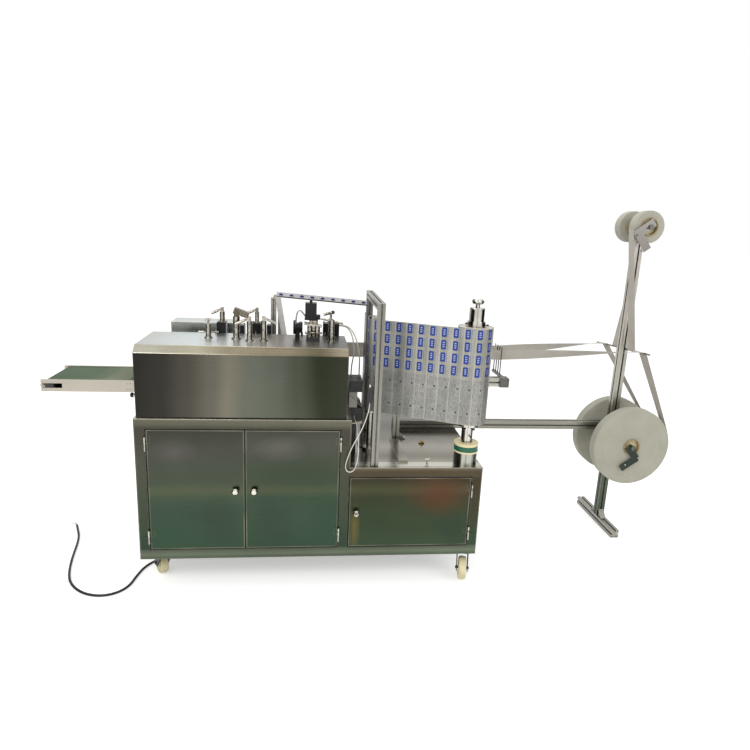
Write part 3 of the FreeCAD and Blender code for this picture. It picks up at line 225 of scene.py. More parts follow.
def beyond(g, box):
    """How far a point lies outside a box in X and Z, in metres; negative inside. box is in the cabinet's
    millimetres: left, right, bottom, top."""
    left, right, bottom, top = box
    low, high = at(left, 0, bottom), at(right, 0, top)
    outside = [abs(g.axis(name) - (a + b) / 2) - (b - a) / 2
               for name, a, b in (("X", low.x, high.x), ("Z", low.z, high.z))]
    return g.larger(*outside)


def brushed_steel(name, colour, roughness=0.3, streaks=(2, 2, 260), edge_width=0.0018, edge_wear_and_highlight=0.7):
    """Satin stainless: fine brushing, wide soft clouds, smudges that change the gloss, brighter edges that are partly
    wear and partly painted highlight.
    colour is a linear colour or a function that makes a wire from the graph."""
    g = Graph(name)
    base = colour(g) if callable(colour) else colour
    shade = g.cloud(2.4, 3, 0.3, 0.7, 0.9, 1.1) * g.cloud(1, 6, 0.3, 0.7, 0.96, 1.04, streaks)
    shaded = g.blend(1, base, g.take(0, "CombineColor", {0: shade, 1: shade, 2: shade}), "MULTIPLY")
    smudge = g.cloud(9, 5, 0.45, 0.75, 0, 0.12)
    grain = g.cloud(1, 4, 0.3, 0.7, -0.04, 0.05, streaks)
    gloss = roughness(g) if callable(roughness) else roughness
    # Brighter edges: partly wear, partly painted highlight.
    g.set(Base_Color=g.blend(g.edge_mask(edge_width) * edge_wear_and_highlight, shaded, tone(205, 201, 188)),
          Roughness=smudge + grain + gloss, Metallic=1)
    g.bump(g.noise(1, 5, streaks), 0.06, 0.0004)
    return g.material


def along_x(low, high, stops):
    """Colour stops along X, in the cabinet's millimetres, bent a little by noise."""
    return lambda g: g.ramp(g.spread(g.axis("X") + (g.noise(1.6, 2) - 0.5) * 0.16,
                                     at(low, 0, 0).x, at(high, 0, 0).x), stops)


def along_z(low, high, stops, wobble=0):
    return lambda g: g.ramp(g.spread(g.axis("Z") + (g.noise(1.3, 2) - 0.5) * wobble, low * MM, high * MM), stops)


def facing_up(g, low, high):
    """0 on upright faces, 1 where the face looks up."""
    return g.spread(g.normal("Z"), low, high)


def housing_reflection_colour(g):
    """Painted reflections: a dark front with a warm band, and a bevel and top that go from pale at the left to grey at
    the right.
    """
    face, top, edge = (along_x(9, 824, stops)(g) for stops in (
        shades((0, 46, 45, 41), (0.12, 54, 52, 48), (0.22, 72, 70, 63), (0.34, 94, 91, 82), (0.42, 112, 108, 95),
               (0.52, 96, 98, 88), (0.66, 88, 91, 81), (0.76, 72, 76, 65), (0.86, 47, 50, 39), (1, 54, 56, 47)),
        shades((0, 188, 189, 182), (0.2, 196, 203, 202), (0.45, 200, 204, 201), (0.58, 170, 166, 158),
               (0.70, 126, 122, 114), (1, 104, 103, 95)),
        shades((0, 190, 187, 172), (0.25, 170, 164, 144), (0.45, 142, 132, 112), (0.7, 130, 120, 100),
               (0.85, 96, 90, 72), (1, 140, 130, 112))))
    front = g.blend(g.spread(g.axis("Z"), 0.7415, 0.7400), face, tone(26, 27, 24))
    return g.blend(facing_up(g, 0.88, 0.97), g.blend(facing_up(g, 0.25, 0.45), front, edge), top)


def housing_gloss(g):
    """Satin front, polished top."""
    return g.spread(facing_up(g, 0.88, 0.97), 0, 1, 0.24, 0.3)


cabinet_right = span("cabinet_sides")[1].x
door_boxes = ((43.5, 420.7, 176.5, 692.5), (422.7, 800, 176.5, 692.5), (844, cabinet_right - 43.5, 176.5, 489.5))


def frame_colour(g):
    """Olive posts between paler rails, warmer at the low part, with dark joints round the doors."""
    high = along_z(133, 736, shades(
        (0, 70, 84, 70), (0.03, 100, 107, 91), (0.065, 84, 92, 78), (0.075, 54, 70, 56), (0.4, 66, 74, 60),
        (0.7, 74, 74, 64), (0.925, 70, 68, 60), (0.935, 74, 72, 62), (0.97, 94, 93, 80), (1, 106, 101, 88)))(g)
    low = along_z(133, 533, shades(
        (0, 70, 84, 70), (0.05, 100, 107, 91), (0.10, 84, 92, 78), (0.11, 54, 70, 56), (0.5, 62, 62, 48),
        (0.88, 66, 58, 46), (0.9, 78, 70, 56), (0.95, 78, 70, 56), (1, 104, 94, 80)))(g)
    steel = g.blend(g.spread(g.axis("X"), at(838, 0, 0).x, at(846, 0, 0).x), high, low)
    for box in door_boxes:
        far = beyond(g, box)
        joint = g.spread(far, -0.004, -0.001) * g.spread(far, 0.0062, 0.0048)
        steel = g.blend(joint * 0.85, steel, tone(20, 21, 17))
    return steel


def in_front(g):
    """1 on what stands before the doors: knobs and the barrels of hinges."""
    return g.spread(g.axis("Y"), at(0, -2.4, 0).y, at(0, -3, 0).y)


def hinge_colour(g):
    """Leaves like the frame, bright barrels with painted reflection streaks in front of them."""
    return g.blend(in_front(g), frame_colour(g), reflection_streaked(g, tone(178, 175, 164)))


def table_colour_and_highlight(g):
    """A painted highlight strip along the front lip; darker toward the back."""
    y = g.axis("Y")
    depth = g.ramp(g.spread(y, at(0, 0, 0).y, at(0, 800, 0).y), shades(
        (0, 176, 172, 156), (0.08, 150, 147, 133), (0.16, 122, 119, 106), (0.3, 150, 147, 134),
        (0.45, 116, 114, 102), (0.65, 92, 90, 80), (0.8, 104, 103, 92), (1, 84, 83, 74)))
    # Painted highlight: a pale strip along the front lip.
    strip = g.spread(y, at(0, 17, 0).y, at(0, 19, 0).y) * g.spread(y, at(0, 63, 0).y, at(0, 61, 0).y)
    return g.blend(strip * 0.6, depth, tone(222, 220, 210))


def bed_lit_colour(g):
    """Painted light: pale where it faces up, and a front, a little greener, brightened against the shade it stands in.
    """
    return g.blend(facing_up(g, 0.5, 0.9), tone(186, 189, 183), tone(198, 203, 198))


def door_steel(name, box, stops, reflection_patches):
    """Greenish grey door whose tone and soft patches are painted reflections of the room and its green floor, with a
    faint paler band across it, a painted highlight rim inside a dark joint, and bright knob and hinge halves in front
    with painted reflection streaks. A patch is a place, its half width and half height, a share and a colour."""
    def colour(g):
        panel = along_z(box[2], box[3], stops, 0.2)(g)
        band = g.spread(g.axis("Z"), 0.40, 0.435) * g.spread(g.axis("Z"), 0.47, 0.435)
        panel = g.blend(band * 0.3, panel, tone(98, 96, 70))
        for x, z, half_x, half_z, share, *shade in reflection_patches:
            far = g.distance((g.axis("X") - at(x, 0, 0).x) / (half_x * MM), (g.axis("Z") - z * MM) / (half_z * MM))
            cloud = g.spread(far + g.cloud(5, 3, 0.3, 0.7, -0.2, 0.2), 1, 0.2)
            panel = g.blend(cloud * share, panel, tone(*shade))
        far = beyond(g, box)
        # Painted highlight: a thin bright rim just inside the dark joint.
        rim = g.spread(far, -0.0062, -0.0050) * g.spread(far, -0.0022, -0.0030)
        panel = g.blend(rim * g.cloud(7, 3, 0.35, 0.65, 0.1, 0.55), panel, tone(150, 148, 130))
        panel = g.blend(g.spread(far, -0.0024, -0.0016), panel, tone(18, 19, 16))
        # Knobs and hinge barrels in front: painted reflection streaks and blotches.
        return g.blend(in_front(g), panel, reflection_blotched(g, reflection_streaked(g, tone(214, 210, 198)), 62, 0.75))
    return brushed_steel(name, colour, 0.28, edge_width=0.004, edge_wear_and_highlight=0.15)


def polished(name, colour=tone(214, 210, 202), roughness=0.14, reflection_blotch=0):
    """Turned and plated steel with faint handling marks, over painted reflection streaks and blotches."""
    g = Graph(name)
    # Painted reflections: streaks and blotches in the base colour.
    ring = reflection_blotched(g, reflection_streaked(g, colour), 85, reflection_blotch)
    g.set(Base_Color=g.blend(g.cloud(30, 4, 0.35, 0.7) * 0.35, ring, tone(120, 117, 110)),
          Roughness=g.cloud(140, 5, 0.4, 0.75, 0, 0.2) + roughness, Metallic=1)
    g.bump(g.noise(400, 3), 0.05, 0.0002)
    return g.material


def anodised(name, stretch, colour=tone(186, 183, 173)):
    """Drawn profile: lines along the bar, matt anodised, scuffed at its edges, with painted shade in its slots. colour
    may be a function.
    """
    g = Graph(name)
    base = colour(g) if callable(colour) else colour
    tint = g.blend(g.cloud(1, 6, 0.32, 0.68, stretch=stretch) * 0.3, base, tone(30, 30, 27))
    open_face = g.blend(g.edge_mask(0.0012) * 0.5, tint, tone(226, 224, 216))
    # Painted shade: slots and inner corners go dark.
    g.set(Base_Color=g.blend(g.hollow_shade(0.02), open_face, tone(34, 34, 31)),
          Roughness=g.cloud(60, 4, 0.3, 0.7, 0.28, 0.46), Metallic=1)
    g.bump(g.noise(1, 4, stretch), 0.08, 0.0003)
    return g.material


def painted(name, colour, roughness=0.45, chips=tone(120, 118, 110), metallic=0):
    """Paint or oxide with soft mottling and rubbed edges."""
    g = Graph(name)
    body = g.blend(g.cloud(24, 5, 0.35, 0.7), colour, scaled(colour, 1.5, 0.004))
    g.set(Base_Color=g.blend(g.edge_mask(0.0010) * 0.45, body, chips), Metallic=metallic,
          Roughness=g.cloud(50, 5, 0.3, 0.7, roughness - 0.1, roughness + 0.12))
    g.bump(g.noise(320, 4), 0.12, 0.0003)
    return g.material


def plastic(name, colour, roughness=0.4, grain=500):
    g = Graph(name)
    g.set(Base_Color=g.blend(g.cloud(18, 4, 0.35, 0.7), colour, scaled(colour, 0.8)),
          Roughness=g.cloud(70, 4, 0.3, 0.7, roughness - 0.08, roughness + 0.1))
    g.bump(g.noise(grain, 3), 0.1, 0.0002)
    return g.material


def woven_belt(name):
    """Smooth green belt with a very fine cloth back, dust and a few scuffs along its run."""
    g = Graph(name)
    dust = g.cloud(5, 5, 0.4, 0.72)
    run = along_x(-331, 9, shades((0, 40, 66, 32), (0.45, 46, 72, 38), (0.62, 70, 86, 56), (0.72, 98, 104, 80),
                                  (1, 108, 112, 88)))(g)
    green = g.blend(dust * 0.2, run, tone(100, 118, 88))
    scuff = g.cloud(1, 4, 0.5, 0.75, 0, 0.35, (3, 90, 3))
    g.set(Base_Color=g.blend(scuff * 0.4, green, tone(120, 134, 110)),
          Roughness=g.spread(dust, 0, 1, 0.45, 0.65), Specular_IOR_Level=0.2)
    place = g.take(0, "Mapping", {0: g.point()})
    g.bump(g.take(0, "TexWave", {"Vector": place, "Scale": 330, "Distortion": 0.3}), 0.1, 0.0002)
    return g.material


def nonwoven(name, colour):
    """Soft bonded fibre: fibre noise at two scales, slight mottling, a little sheen."""
    g = Graph(name)
    fibre = g.noise(900, 6)
    tint = g.blend(g.cloud(14, 5, 0.32, 0.7), colour, scaled(colour, 0.86))
    g.set(Base_Color=g.blend(g.spread(fibre, 0.3, 0.7, 0, 0.25), tint, tone(214, 210, 200)), Roughness=0.92,
          Sheen_Weight=0.25, Sheen_Roughness=0.5)
    g.bump(fibre, 0.3, 0.0004)
    return g.material


def roll_side(name, centre, colour=tone(170, 168, 153)):
    """The face of a wound roll: hundreds of faint thin rings under soft mottling."""
    g = Graph(name)
    line = g.joined(g.distance(g.axis("X") - centre.x, g.axis("Z") - centre.z))
    rings = g.noise(900, 4, vector=line)
    shade = rings * 0.25 + g.noise(42, 2, vector=line) * 0.2 + g.noise(9, 4) * 0.55
    g.set(Base_Color=g.blend(g.spread(shade, 0.36, 0.74), scaled(colour, 0.86), scaled(colour, 1.1)),
          Roughness=0.9, Sheen_Weight=0.15)
    g.bump(rings, 0.2, 0.0005)
    return g.material


def printed_foil(name, print_height):
    """Grey laminate with rows of rounded blue blocks on its upper part and fine upright strokes below.
    U runs along the web and V up it, both in metres."""
    g = Graph(name)
    u, v = (g.take(name, "SeparateXYZ", {0: g.take("UV", "TexCoord")}) for name in ("X", "Y"))
    pitch_u, pitch_v, first_u, rows = 0.0482, 0.051, 0.015, 4
    middle_v = 0.024

    def phase(value):
        return g.math("FRACT", value)

    side = (phase((u - first_u) / pitch_u + 0.5) - 0.5) * pitch_u
    from_top = print_height - v
    cell_v = phase(from_top / pitch_v) * pitch_v

    def within(value, low, high, edge=0.0004):
        return g.spread(value, low - edge, low + edge) * g.spread(value, high + edge, high - edge)

    def rounded_block(half_u, half_v, radius):
        """1 inside a rectangle with round corners, from its signed distance."""
        du = abs(side) - (half_u - radius)
        dv = abs(cell_v - middle_v) - (half_v - radius)
        far = g.distance(g.larger(du, 0), g.larger(dv, 0))
        return g.spread(far + g.math("MINIMUM", g.larger(du, dv), 0) - radius, 0.0004, -0.0004)

    def striped(pitch, gap):
        return g.math("GREATER_THAN", phase(cell_v / pitch), gap)

    printed_rows = within(from_top, 0.002, rows * pitch_v)
    block = rounded_block(0.0103, 0.0195, 0.0045) * printed_rows
    core = rounded_block(0.0042, 0.0140, 0.0020) * striped(0.0085, 0.42) * block
    beside = within(side, -0.0175, -0.0135) * striped(0.0042, 0.4) * (within(cell_v, 0.006, 0.044) * printed_rows)

    stroke = g.noise(1, 3, vector=g.joined(u * 620, v * 52))
    cloud = g.noise(1, 2, vector=g.joined(u * 26, v * 5))
    columns = g.larger(within(side, -0.0236, 0.0128, 0.002), within(side, 0.0168, 0.0245, 0.002))
    below = within(from_top, rows * pitch_v + 0.006, print_height - 0.004, 0.003)
    row_gap = g.spread(within(cell_v, 0.003, 0.049, 0.002), 0, 1, 0.55, 1)
    strokes = g.spread(stroke, 0.44, 0.60) * g.spread(columns, 0, 1, 0.4, 1) * (below * row_gap)

    dot_side = -0.0215
    dots = [g.spread(g.distance(side - dot_side, from_top - down), 0.0040, 0.0032) for down in (0.251, 0.351)]
    printed = g.blend(g.spread(cloud, 0.3, 0.7), tone(142, 143, 133), tone(176, 174, 166))
    for share, colour in ((g.cloud(240, 3, 0.46, 0.62) * 0.4, (118, 118, 116)),
                          (within(side, 0.0130, 0.0166, 0.002) * 0.45, (206, 200, 196)),
                          (strokes * 0.62, (96, 98, 110)), (beside * 0.75, (72, 88, 146)), (block, (20, 50, 134)),
                          (core * 0.7, (176, 190, 220)), (g.larger(*dots), (20, 20, 22))):
        printed = g.blend(share, printed, tone(*colour))
    g.set(Base_Color=printed, Metallic=0.6 - block * 0.4, Roughness=g.cloud(34, 4, 0.3, 0.7, 0.34, 0.5))
    g.bump(g.noise(26, 4), 0.2, 0.002)
    return g.material


def brake_disc(name):
    """Bright steel drum below, with painted reflection streaks, cream disc above it, with a green band round the disc.
    """
    g = Graph(name)
    drum_top = span("foil_brake")[0].z + 50
    z = g.axis("Z")
    green = g.spread(z, 0.5905, 0.5912) * g.spread(z, 0.6135, 0.6128)
    disc = g.blend(green, tone(226, 212, 168), tone(20, 92, 68))
    above = g.spread(z, (drum_top - 0.5) * MM, (drum_top + 0.5) * MM)
    g.set(Base_Color=g.blend(above, reflection_streaked(g, tone(178, 180, 170)), disc),
          Roughness=g.cloud(40, 4, 0.3, 0.7, 0.3, 0.5), Metallic=g.spread(z, 0.5832, 0.5828))
    return g.material


def wound_edges(name, centre):
    """The end of the wound foil: very fine rings round its centre."""
    g = Graph(name)
    far = g.distance(g.axis("X") - centre.x, g.axis("Y") - centre.y)
    rings = g.noise(1500, 3, vector=g.joined(far))
    g.set(Base_Color=g.blend(g.spread(rings, 0.35, 0.65), tone(150, 148, 142), tone(220, 216, 208)),
          Roughness=0.5, Metallic=0.4)
    g.bump(rings, 0.5, 0.0005)
    return g.material


def strip_print(name):
    """The narrow strip: pale laminate with one small dark blue mark at each pitch."""
    g = Graph(name)
    along, up = (g.take(name, "SeparateXYZ", {0: g.take("UV", "TexCoord")}) for name in ("X", "Y"))
    across = (g.math("FRACT", along / 0.047) - 0.42) / 0.2
    rise = (up - 0.0095) / 0.0074
    mark = g.spread(across * across + rise * rise, 1.15, 0.75) * (1 - g.spread(up, 0.0080, 0.0070) * 0.7)
    silver = g.blend(g.cloud(30, 3, 0.3, 0.7), tone(186, 186, 190), tone(214, 212, 208))
    marked = g.blend(mark, silver, tone(34, 34, 112))
    g.set(Base_Color=g.blend(g.spread(up, 0.0042, 0.0030), marked, tone(26, 26, 30)), Metallic=0.4,
          Roughness=g.cloud(40, 4, 0.3, 0.7, 0.3, 0.5))
    g.bump(g.noise(60, 3), 0.1, 0.001)
    return g.material


X_LINES, Y_LINES, Z_LINES = (3, 260, 260), (260, 3, 260), (260, 260, 3)

frame_steel = brushed_steel("frame steel", frame_colour, 0.3, edge_width=0.005, edge_wear_and_highlight=0.45)
side_steel = brushed_steel("side steel", tone(92, 93, 82), 0.32)
housing_steel = brushed_steel("housing steel", housing_reflection_colour, housing_gloss, (3, 3, 240), 0.003)
table_steel = brushed_steel("table steel", table_colour_and_highlight, 0.2, (2.5, 200, 200))
bed_steel = brushed_steel("bed steel", bed_lit_colour, 0.28)
hinge_steel = brushed_steel("hinge steel", hinge_colour, 0.3, edge_wear_and_highlight=0.1)
conveyor_steel = brushed_steel("conveyor steel", tone(180, 174, 162), 0.3, (3, 3, 260))
grey_plate = brushed_steel("plain plate", tone(124, 120, 115), 0.32, edge_wear_and_highlight=0.4)
# Each door's colour stops and patches are painted reflections of the room and its green floor.
left_door_steel = door_steel(
    "left door steel", door_boxes[0],
    shades((0, 58, 76, 62), (0.3, 60, 75, 63), (0.45, 66, 78, 64), (0.62, 68, 74, 63), (0.8, 70, 72, 65),
           (1, 62, 62, 54)),
    ((150, 600, 110, 60, 0.5, 92, 88, 84), (330, 300, 130, 130, 0.5, 56, 66, 54),
     (110, 230, 90, 70, 0.3, 50, 78, 58)))
middle_door_steel = door_steel(
    "middle door steel", door_boxes[1],
    shades((0, 57, 75, 61), (0.35, 59, 74, 61), (0.6, 64, 73, 60), (0.85, 74, 76, 68), (1, 66, 68, 60)),
    ((560, 620, 120, 60, 0.5, 104, 100, 96), (760, 300, 110, 160, 0.5, 50, 70, 54),
     (520, 300, 130, 130, 0.4, 56, 64, 54)))
right_door_steel = door_steel(
    "right door steel", door_boxes[2],
    shades((0, 60, 74, 58), (0.4, 56, 67, 50), (0.7, 58, 62, 47), (1, 62, 56, 44)),
    ((1225, 410, 160, 110, 0.7, 88, 58, 42), (870, 260, 26, 120, 0.6, 110, 96, 54),
     (1290, 250, 120, 110, 0.5, 50, 62, 54)))
chrome = polished("bright steel")
# The last number of these is the share of painted reflection blotches.
busy_chrome = polished("bright small parts", tone(206, 198, 186), 0.2, 0.8)
lever_chrome = polished("bright levers", tone(200, 194, 182), 0.22, 0.45)
dull_chrome = polished("satin steel", tone(190, 187, 178), 0.26)
dark_steel = polished("dark steel", tone(92, 90, 86), 0.3)
brass = polished("brass", tone(176, 142, 84), 0.25)
profile_x = anodised("profile along x", X_LINES)
guide_profile = anodised("guide profile", Z_LINES, tone(150, 148, 140))
beam_profile = anodised("beam profile", X_LINES, tone(146, 145, 134))
foot_profile = anodised("foot profile", Y_LINES, tone(160, 158, 148))
reel_profile = anodised("reel post profile", Z_LINES, along_z(40, 1620, shades(
    (0, 84, 92, 80), (0.18, 92, 98, 86), (0.3, 140, 138, 126), (0.5, 190, 187, 176), (1, 180, 172, 166))))
motor_paint = painted("motor paint", tone(26, 28, 28), 0.3, metallic=0.6)
block_paint = painted("block paint", tone(26, 27, 27), 0.34, tone(150, 146, 138), 0.7)
rib_plate = painted("perforated plate", tone(96, 90, 76), 0.3, tone(196, 178, 132), 0.8)
black_metal = painted("black steel", tone(34, 34, 34))
green_plate = painted("green plate", tone(8, 30, 20), 0.6, tone(36, 60, 48))
cream = plastic("cream plastic", tone(224, 214, 172), 0.45)
black_plastic = plastic("black plastic", tone(34, 34, 34))
card = plastic("roll core card", tone(168, 148, 112), 0.8, 300)
cord_black = plastic("black sheath", tone(14, 14, 14), 0.5, 900)
white_sheath = plastic("white sheath", tone(226, 224, 216), 0.42, 900)
clear_tube = plastic("pale tube", tone(222, 220, 206), 0.3, 900)
strip_back = plastic("strip back", tone(206, 200, 196))
belt_green = woven_belt("green belt")
soft_white = nonwoven("white nonwoven", tone(184, 179, 168))
band_white = nonwoven("band nonwoven", tone(172, 166, 156))
foil_print = printed_foil("printed foil", 0.4)


# Meshes

def place_mesh(mesh, name, body, materials, stands_for, angle=None):
    """Makes a bmesh the visible piece of a body; edges sharper than the angle stay sharp."""
    bmesh.ops.recalc_face_normals(mesh, faces=mesh.faces)
    data = bpy.data.meshes.new(name)
    mesh.to_mesh(data)
    mesh.free()
    for material in materials:
        data.materials.append(material)
    if angle:
        data.polygons.foreach_set("use_smooth", [True] * len(data.polygons))
        data.set_sharp_from_angle(angle=math.radians(angle))
    return link(name, data, body, stands_for)


def link(name, data, body, stands_for=()):
    obj = bpy.data.objects.new(name, data)
    scene.collection.objects.link(obj)
    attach(obj, body)
    if stands_for:
        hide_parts(*stands_for)
    return obj


class Form:
    """Collects the shapes of one piece, in the cabinet's millimetres."""

    def __init__(self):
        self.mesh = bmesh.new()

    def slab(self, x0, x1, y0, y1, z0, z1, soft):
        """A block with rounded edges."""
        corners = [self.mesh.verts.new((x, y, z)) for x in (x0, x1) for y in (y0, y1) for z in (z0, z1)]
        faces = [self.mesh.faces.new([corners[i] for i in face]) for face in (
            (0, 1, 3, 2), (4, 6, 7, 5), (0, 4, 5, 1), (2, 3, 7, 6), (0, 2, 6, 4), (1, 5, 7, 3))]
        edges = list(dict.fromkeys(edge for face in faces for edge in face.edges))
        bmesh.ops.bevel(self.mesh, geom=edges, offset=soft, segments=2, profile=0.5, affect="EDGES", material=0,
                        clamp_overlap=True)

    def lathe(self, outline, base, direction=(0, 0, 1), steps=40, paint=0):
        """A turned solid: outline is (radius, distance along the axis) from one end to the other."""
        turn = Vector((0, 0, 1)).rotation_difference(Vector(direction)).to_matrix()
        centre = Vector(base)
        rings = []
        for radius, along in outline:
            angles = [2 * math.pi * step / steps for step in range(steps if radius else 1)]
            spots = [Vector((radius * math.cos(a), radius * math.sin(a), along)) for a in angles]
            rings.append([self.mesh.verts.new(centre + turn @ spot) for spot in spots])
        for low, high in zip(rings, rings[1:]):
            for step in range(steps):
                after = (step + 1) % steps
                if len(low) == 1:
                    corners = (low[0], high[after], high[step])
                elif len(high) == 1:
                    corners = (low[step], low[after], high[0])
                else:
                    corners = (low[step], low[after], high[after], high[step])
                self.mesh.faces.new(corners).material_index = paint
        if outline[0] == outline[-1]:
            bmesh.ops.remove_doubles(self.mesh, verts=rings[0] + rings[-1], dist=1e-4)

    def rod(self, start, end, radius, soft, steps=28, paint=0):
        """A round bar with chamfered ends."""
        line = Vector(end) - Vector(start)
        length = line.length
        self.lathe([(0, 0), (radius - soft, 0), (radius, soft), (radius, length - soft), (radius - soft, length),
                    (0, length)], start, line.normalized(), steps, paint)

    def tube(self, inner, outer, low, high, base, direction, steps, paint):
        """A plain ring."""
        self.lathe([(inner, low), (outer, low), (outer, high), (inner, high), (inner, low)], base, direction, steps,
                   paint)

    def build(self, name, body, materials, stands_for=(), angle=42):
        for vertex in self.mesh.verts:
            vertex.co = at(*vertex.co)
        return place_mesh(self.mesh, name, body, materials, stands_for, angle)


def dress(node, material, soft):
    """Keeps a CAD node, with its edges eased by soft millimetres and a finished material."""
    obj = nodes[node]
    mesh = obj.data
    mesh.materials.clear()
    mesh.materials.append(material)
    custom = mesh.attributes.get("custom_normal")
    if custom:
        mesh.attributes.remove(custom)
    mesh.polygons.foreach_set("use_smooth", [True] * len(mesh.polygons))
    obj.modifiers.new("weld", "WELD").merge_threshold = 1e-5
    flat = obj.modifiers.new("flat", "DECIMATE")
    flat.decimate_type = "DISSOLVE"
    flat.angle_limit = math.radians(0.6)
    flat.delimit = {"NORMAL", "MATERIAL"}
    if soft:
        ease = obj.modifiers.new("ease", "BEVEL")
        ease.width = soft * MM
        ease.segments = 2
        ease.limit_method = "ANGLE"
        ease.angle_limit = math.radians(40)
    shade = obj.modifiers.new("shade", "WEIGHTED_NORMAL")
    shade.weight = 90
    shade.keep_sharp = False


def recolour(node, material, low, high):
    """Gives another material to the faces of a CAD node whose middle lies in a box, in the cabinet's millimetres."""
    obj = nodes[node]
    obj.data.materials.append(material)
    index = len(obj.data.materials) - 1
    first, last = at(*low), at(*high)
    for polygon in obj.data.polygons:
        middle = obj.matrix_world @ polygon.center
        if all(first[i] <= middle[i] <= last[i] for i in range(3)):
            polygon.material_index = index


levers = [f"lever_{place}" for place in ("rear_left", "front_left", "front_right", "rear_right", "long")]
casters = ("front_left", "front_right", "rear_left", "rear_right")
for material, soft, dressed in (
        (frame_steel, 2, ("front_frame", "back_frame", "side_rails")),
        (side_steel, 0.4, ("cabinet_sides", "cabinet_back", "cabinet_floor")),
        (table_steel, 0.4, ("table_tops",)), (table_steel, 0.6, ("table_rail",)),
        (left_door_steel, 0.8, ("left_door",)), (middle_door_steel, 0.8, ("middle_door",)),
        (right_door_steel, 0.8, ("right_door",)), (hinge_steel, 0.4, ("door_hinges",)),
        (black_metal, 0.8, ["caster_plates"] + [place + "_fork" for place in casters]),
        (black_metal, 1, ("infeed_box",)), (cream, 0.8, [place + "_wheel" for place in casters]),
        (housing_steel, 2.5, ("upper_housing",)), (bed_steel, 2, ("rear_bed",)),
        (conveyor_steel, 0.8, ("conveyor_frame",)), (belt_green, 0, ("conveyor_belt",)),
        (guide_profile, 0.5, ("guide_frame",)), (dull_chrome, 0.6, ("foil_guides",)),
        (chrome, 0.6, ("foil_spindle",)), (brake_disc("brake disc"), 0.6, ("foil_brake",)),
        (profile_x, 0.5, ("strip_bridge",)), (profile_x, 0.4, ("comb_stand",)), (lever_chrome, 0.4, ("clamp_posts",)),
        (lever_chrome, 0.6, levers), (busy_chrome, 0.5, ("hand_screws",)), (busy_chrome, 0.6, ("sealing_head",)),
        (block_paint, 0.8, ("bearing_blocks",)), (motor_paint, 1, ("drive_motor",)),
        (beam_profile, 0.5, ("link_beam",)), (reel_profile, 0.5, ("reel_post",)), (foot_profile, 0.5, ("reel_foot",)),
        (chrome, 0.5, ("guide_rod",)), (dull_chrome, 0.5, ("reel_axles",)), (black_plastic, 1, ("sensor_head",))):
    for node in dressed:
        dress(node, material, soft)
for node, material, low, high in (
        # The black faces on the conveyor frame stand for its dark slot: painted shade.
        ("conveyor_frame", black_metal, (-320, 21, 840), (-280, 29, 870)),
        ("hand_screws", black_plastic, (757, 228, 1125), (780, 248, 1145)),
        ("clamp_posts", rib_plate, (330, 180, 1112), (430, 216, 1160)),
        ("strip_bridge", black_metal, (531, 460, 1130), (940, 481, 1182)),
        ("infeed_box", table_steel, (840, 190, 653), (910, 325, 668)),
        ("infeed_box", grey_plate, (845, 190, 727), (905, 325, 796)),
        ("comb_stand", dark_steel, (1550.5, 320, 780), (1600, 390, 840)),
        ("comb_stand", dark_steel, (1560, 391, 815), (1600, 540, 970)),
        ("foil_guides", dark_steel, (880, 225, 530), (915, 325, 1130)),
        ("reel_axles", green_plate, (2180, 385.5, 330), (2360, 390.5, 520)),
        ("reel_axles", grey_plate, (2120, 440.5, 1400), (2320, 445.5, 1600)),
        ("reel_axles", dark_steel, (2180, 370, 330), (2360, 385.4, 520)),
        ("reel_axles", dark_steel, (2120, 425, 1400), (2320, 440.4, 1600)),
        ("sealing_head", black_metal, (650, 185, 1019), (715, 275, 1033)),
        ("lever_rear_left", black_plastic, (240, 335, 1085), (252, 355, 1115)),
        ("lever_front_left", black_plastic, (360, 150, 1070), (373, 175, 1100)),
        ("lever_rear_right", black_plastic, (390, 335, 1085), (406, 355, 1115)),
        ("lever_front_right", black_plastic, (534, 160, 1070), (550, 180, 1100)),
        ("lever_long", black_plastic, (805, 150, 1085), (815, 170, 1110))):
    recolour(node, material, low, high)


# Cords: smooth curves through control points

def cord_curve(name, points, diameter, material, stands_for=()):
    curve = bpy.data.curves.new(name, "CURVE")
    curve.dimensions = "3D"
    curve.bevel_depth = diameter / 2 * MM
    curve.bevel_resolution = 6
    curve.use_fill_caps = True
    spline = curve.splines.new("NURBS")
    spline.points.add(len(points) - 1)
    for point, place in zip(spline.points, points):
        point.co = (*at(*place), 1)
    spline.order_u = 3
    spline.use_endpoint_u = True
    spline.resolution_u = 12
    curve.materials.append(material)
    return link(name, curve, "machine", stands_for)


ON_FLOOR = 5.2
power_route = [(185, 270, 113), (185, 270, 62), (155, 268, 18)] + [(x, y, ON_FLOOR) for x, y in (
    (100, 260), (25, 225), (-28, 158), (-45, 75), (-52, 15), (-82, -32), (-135, -55), (-198, -45), (-255, -8),
    (-302, 49), (-330, 118), (-352, 200), (-368, 280), (-382, 360), (-401, 435), (-430, 500), (-448, 540))]
sensor_route = [
    (915, 28, 806), (915, 28, 778), (900, 2, 740), (883, -12, 700), (862, -17, 660), (842, -17, 618),
    (828, -16, 575), (821, -14, 542), (832, -13, 518), (856, -13, 522), (868, -13, 552), (873, -12, 590),
    (874, -3, 628), (872, 22, 660), (871, 66, 682), (870, 120, 690), (867, 163, 691), (867, 200, 691)]
left_hose_route = [(799, 350, 1060), (825, 350, 1060), (847, 343, 1043), (861, 330, 1010), (867, 316, 968),
                   (864, 305, 926), (856, 300, 886), (856, 300, 846.2)]
right_hose_route = [(799, 330, 1066), (827, 330, 1066), (852, 322, 1050), (871, 308, 1018), (884, 293, 976),
                    (890, 280, 932), (889, 271, 888), (889, 271, 846.2)]
head_tube_route = [(612, 240, 1080), (613, 238, 1118), (624, 238, 1142), (640, 240, 1130), (652, 244, 1112)]


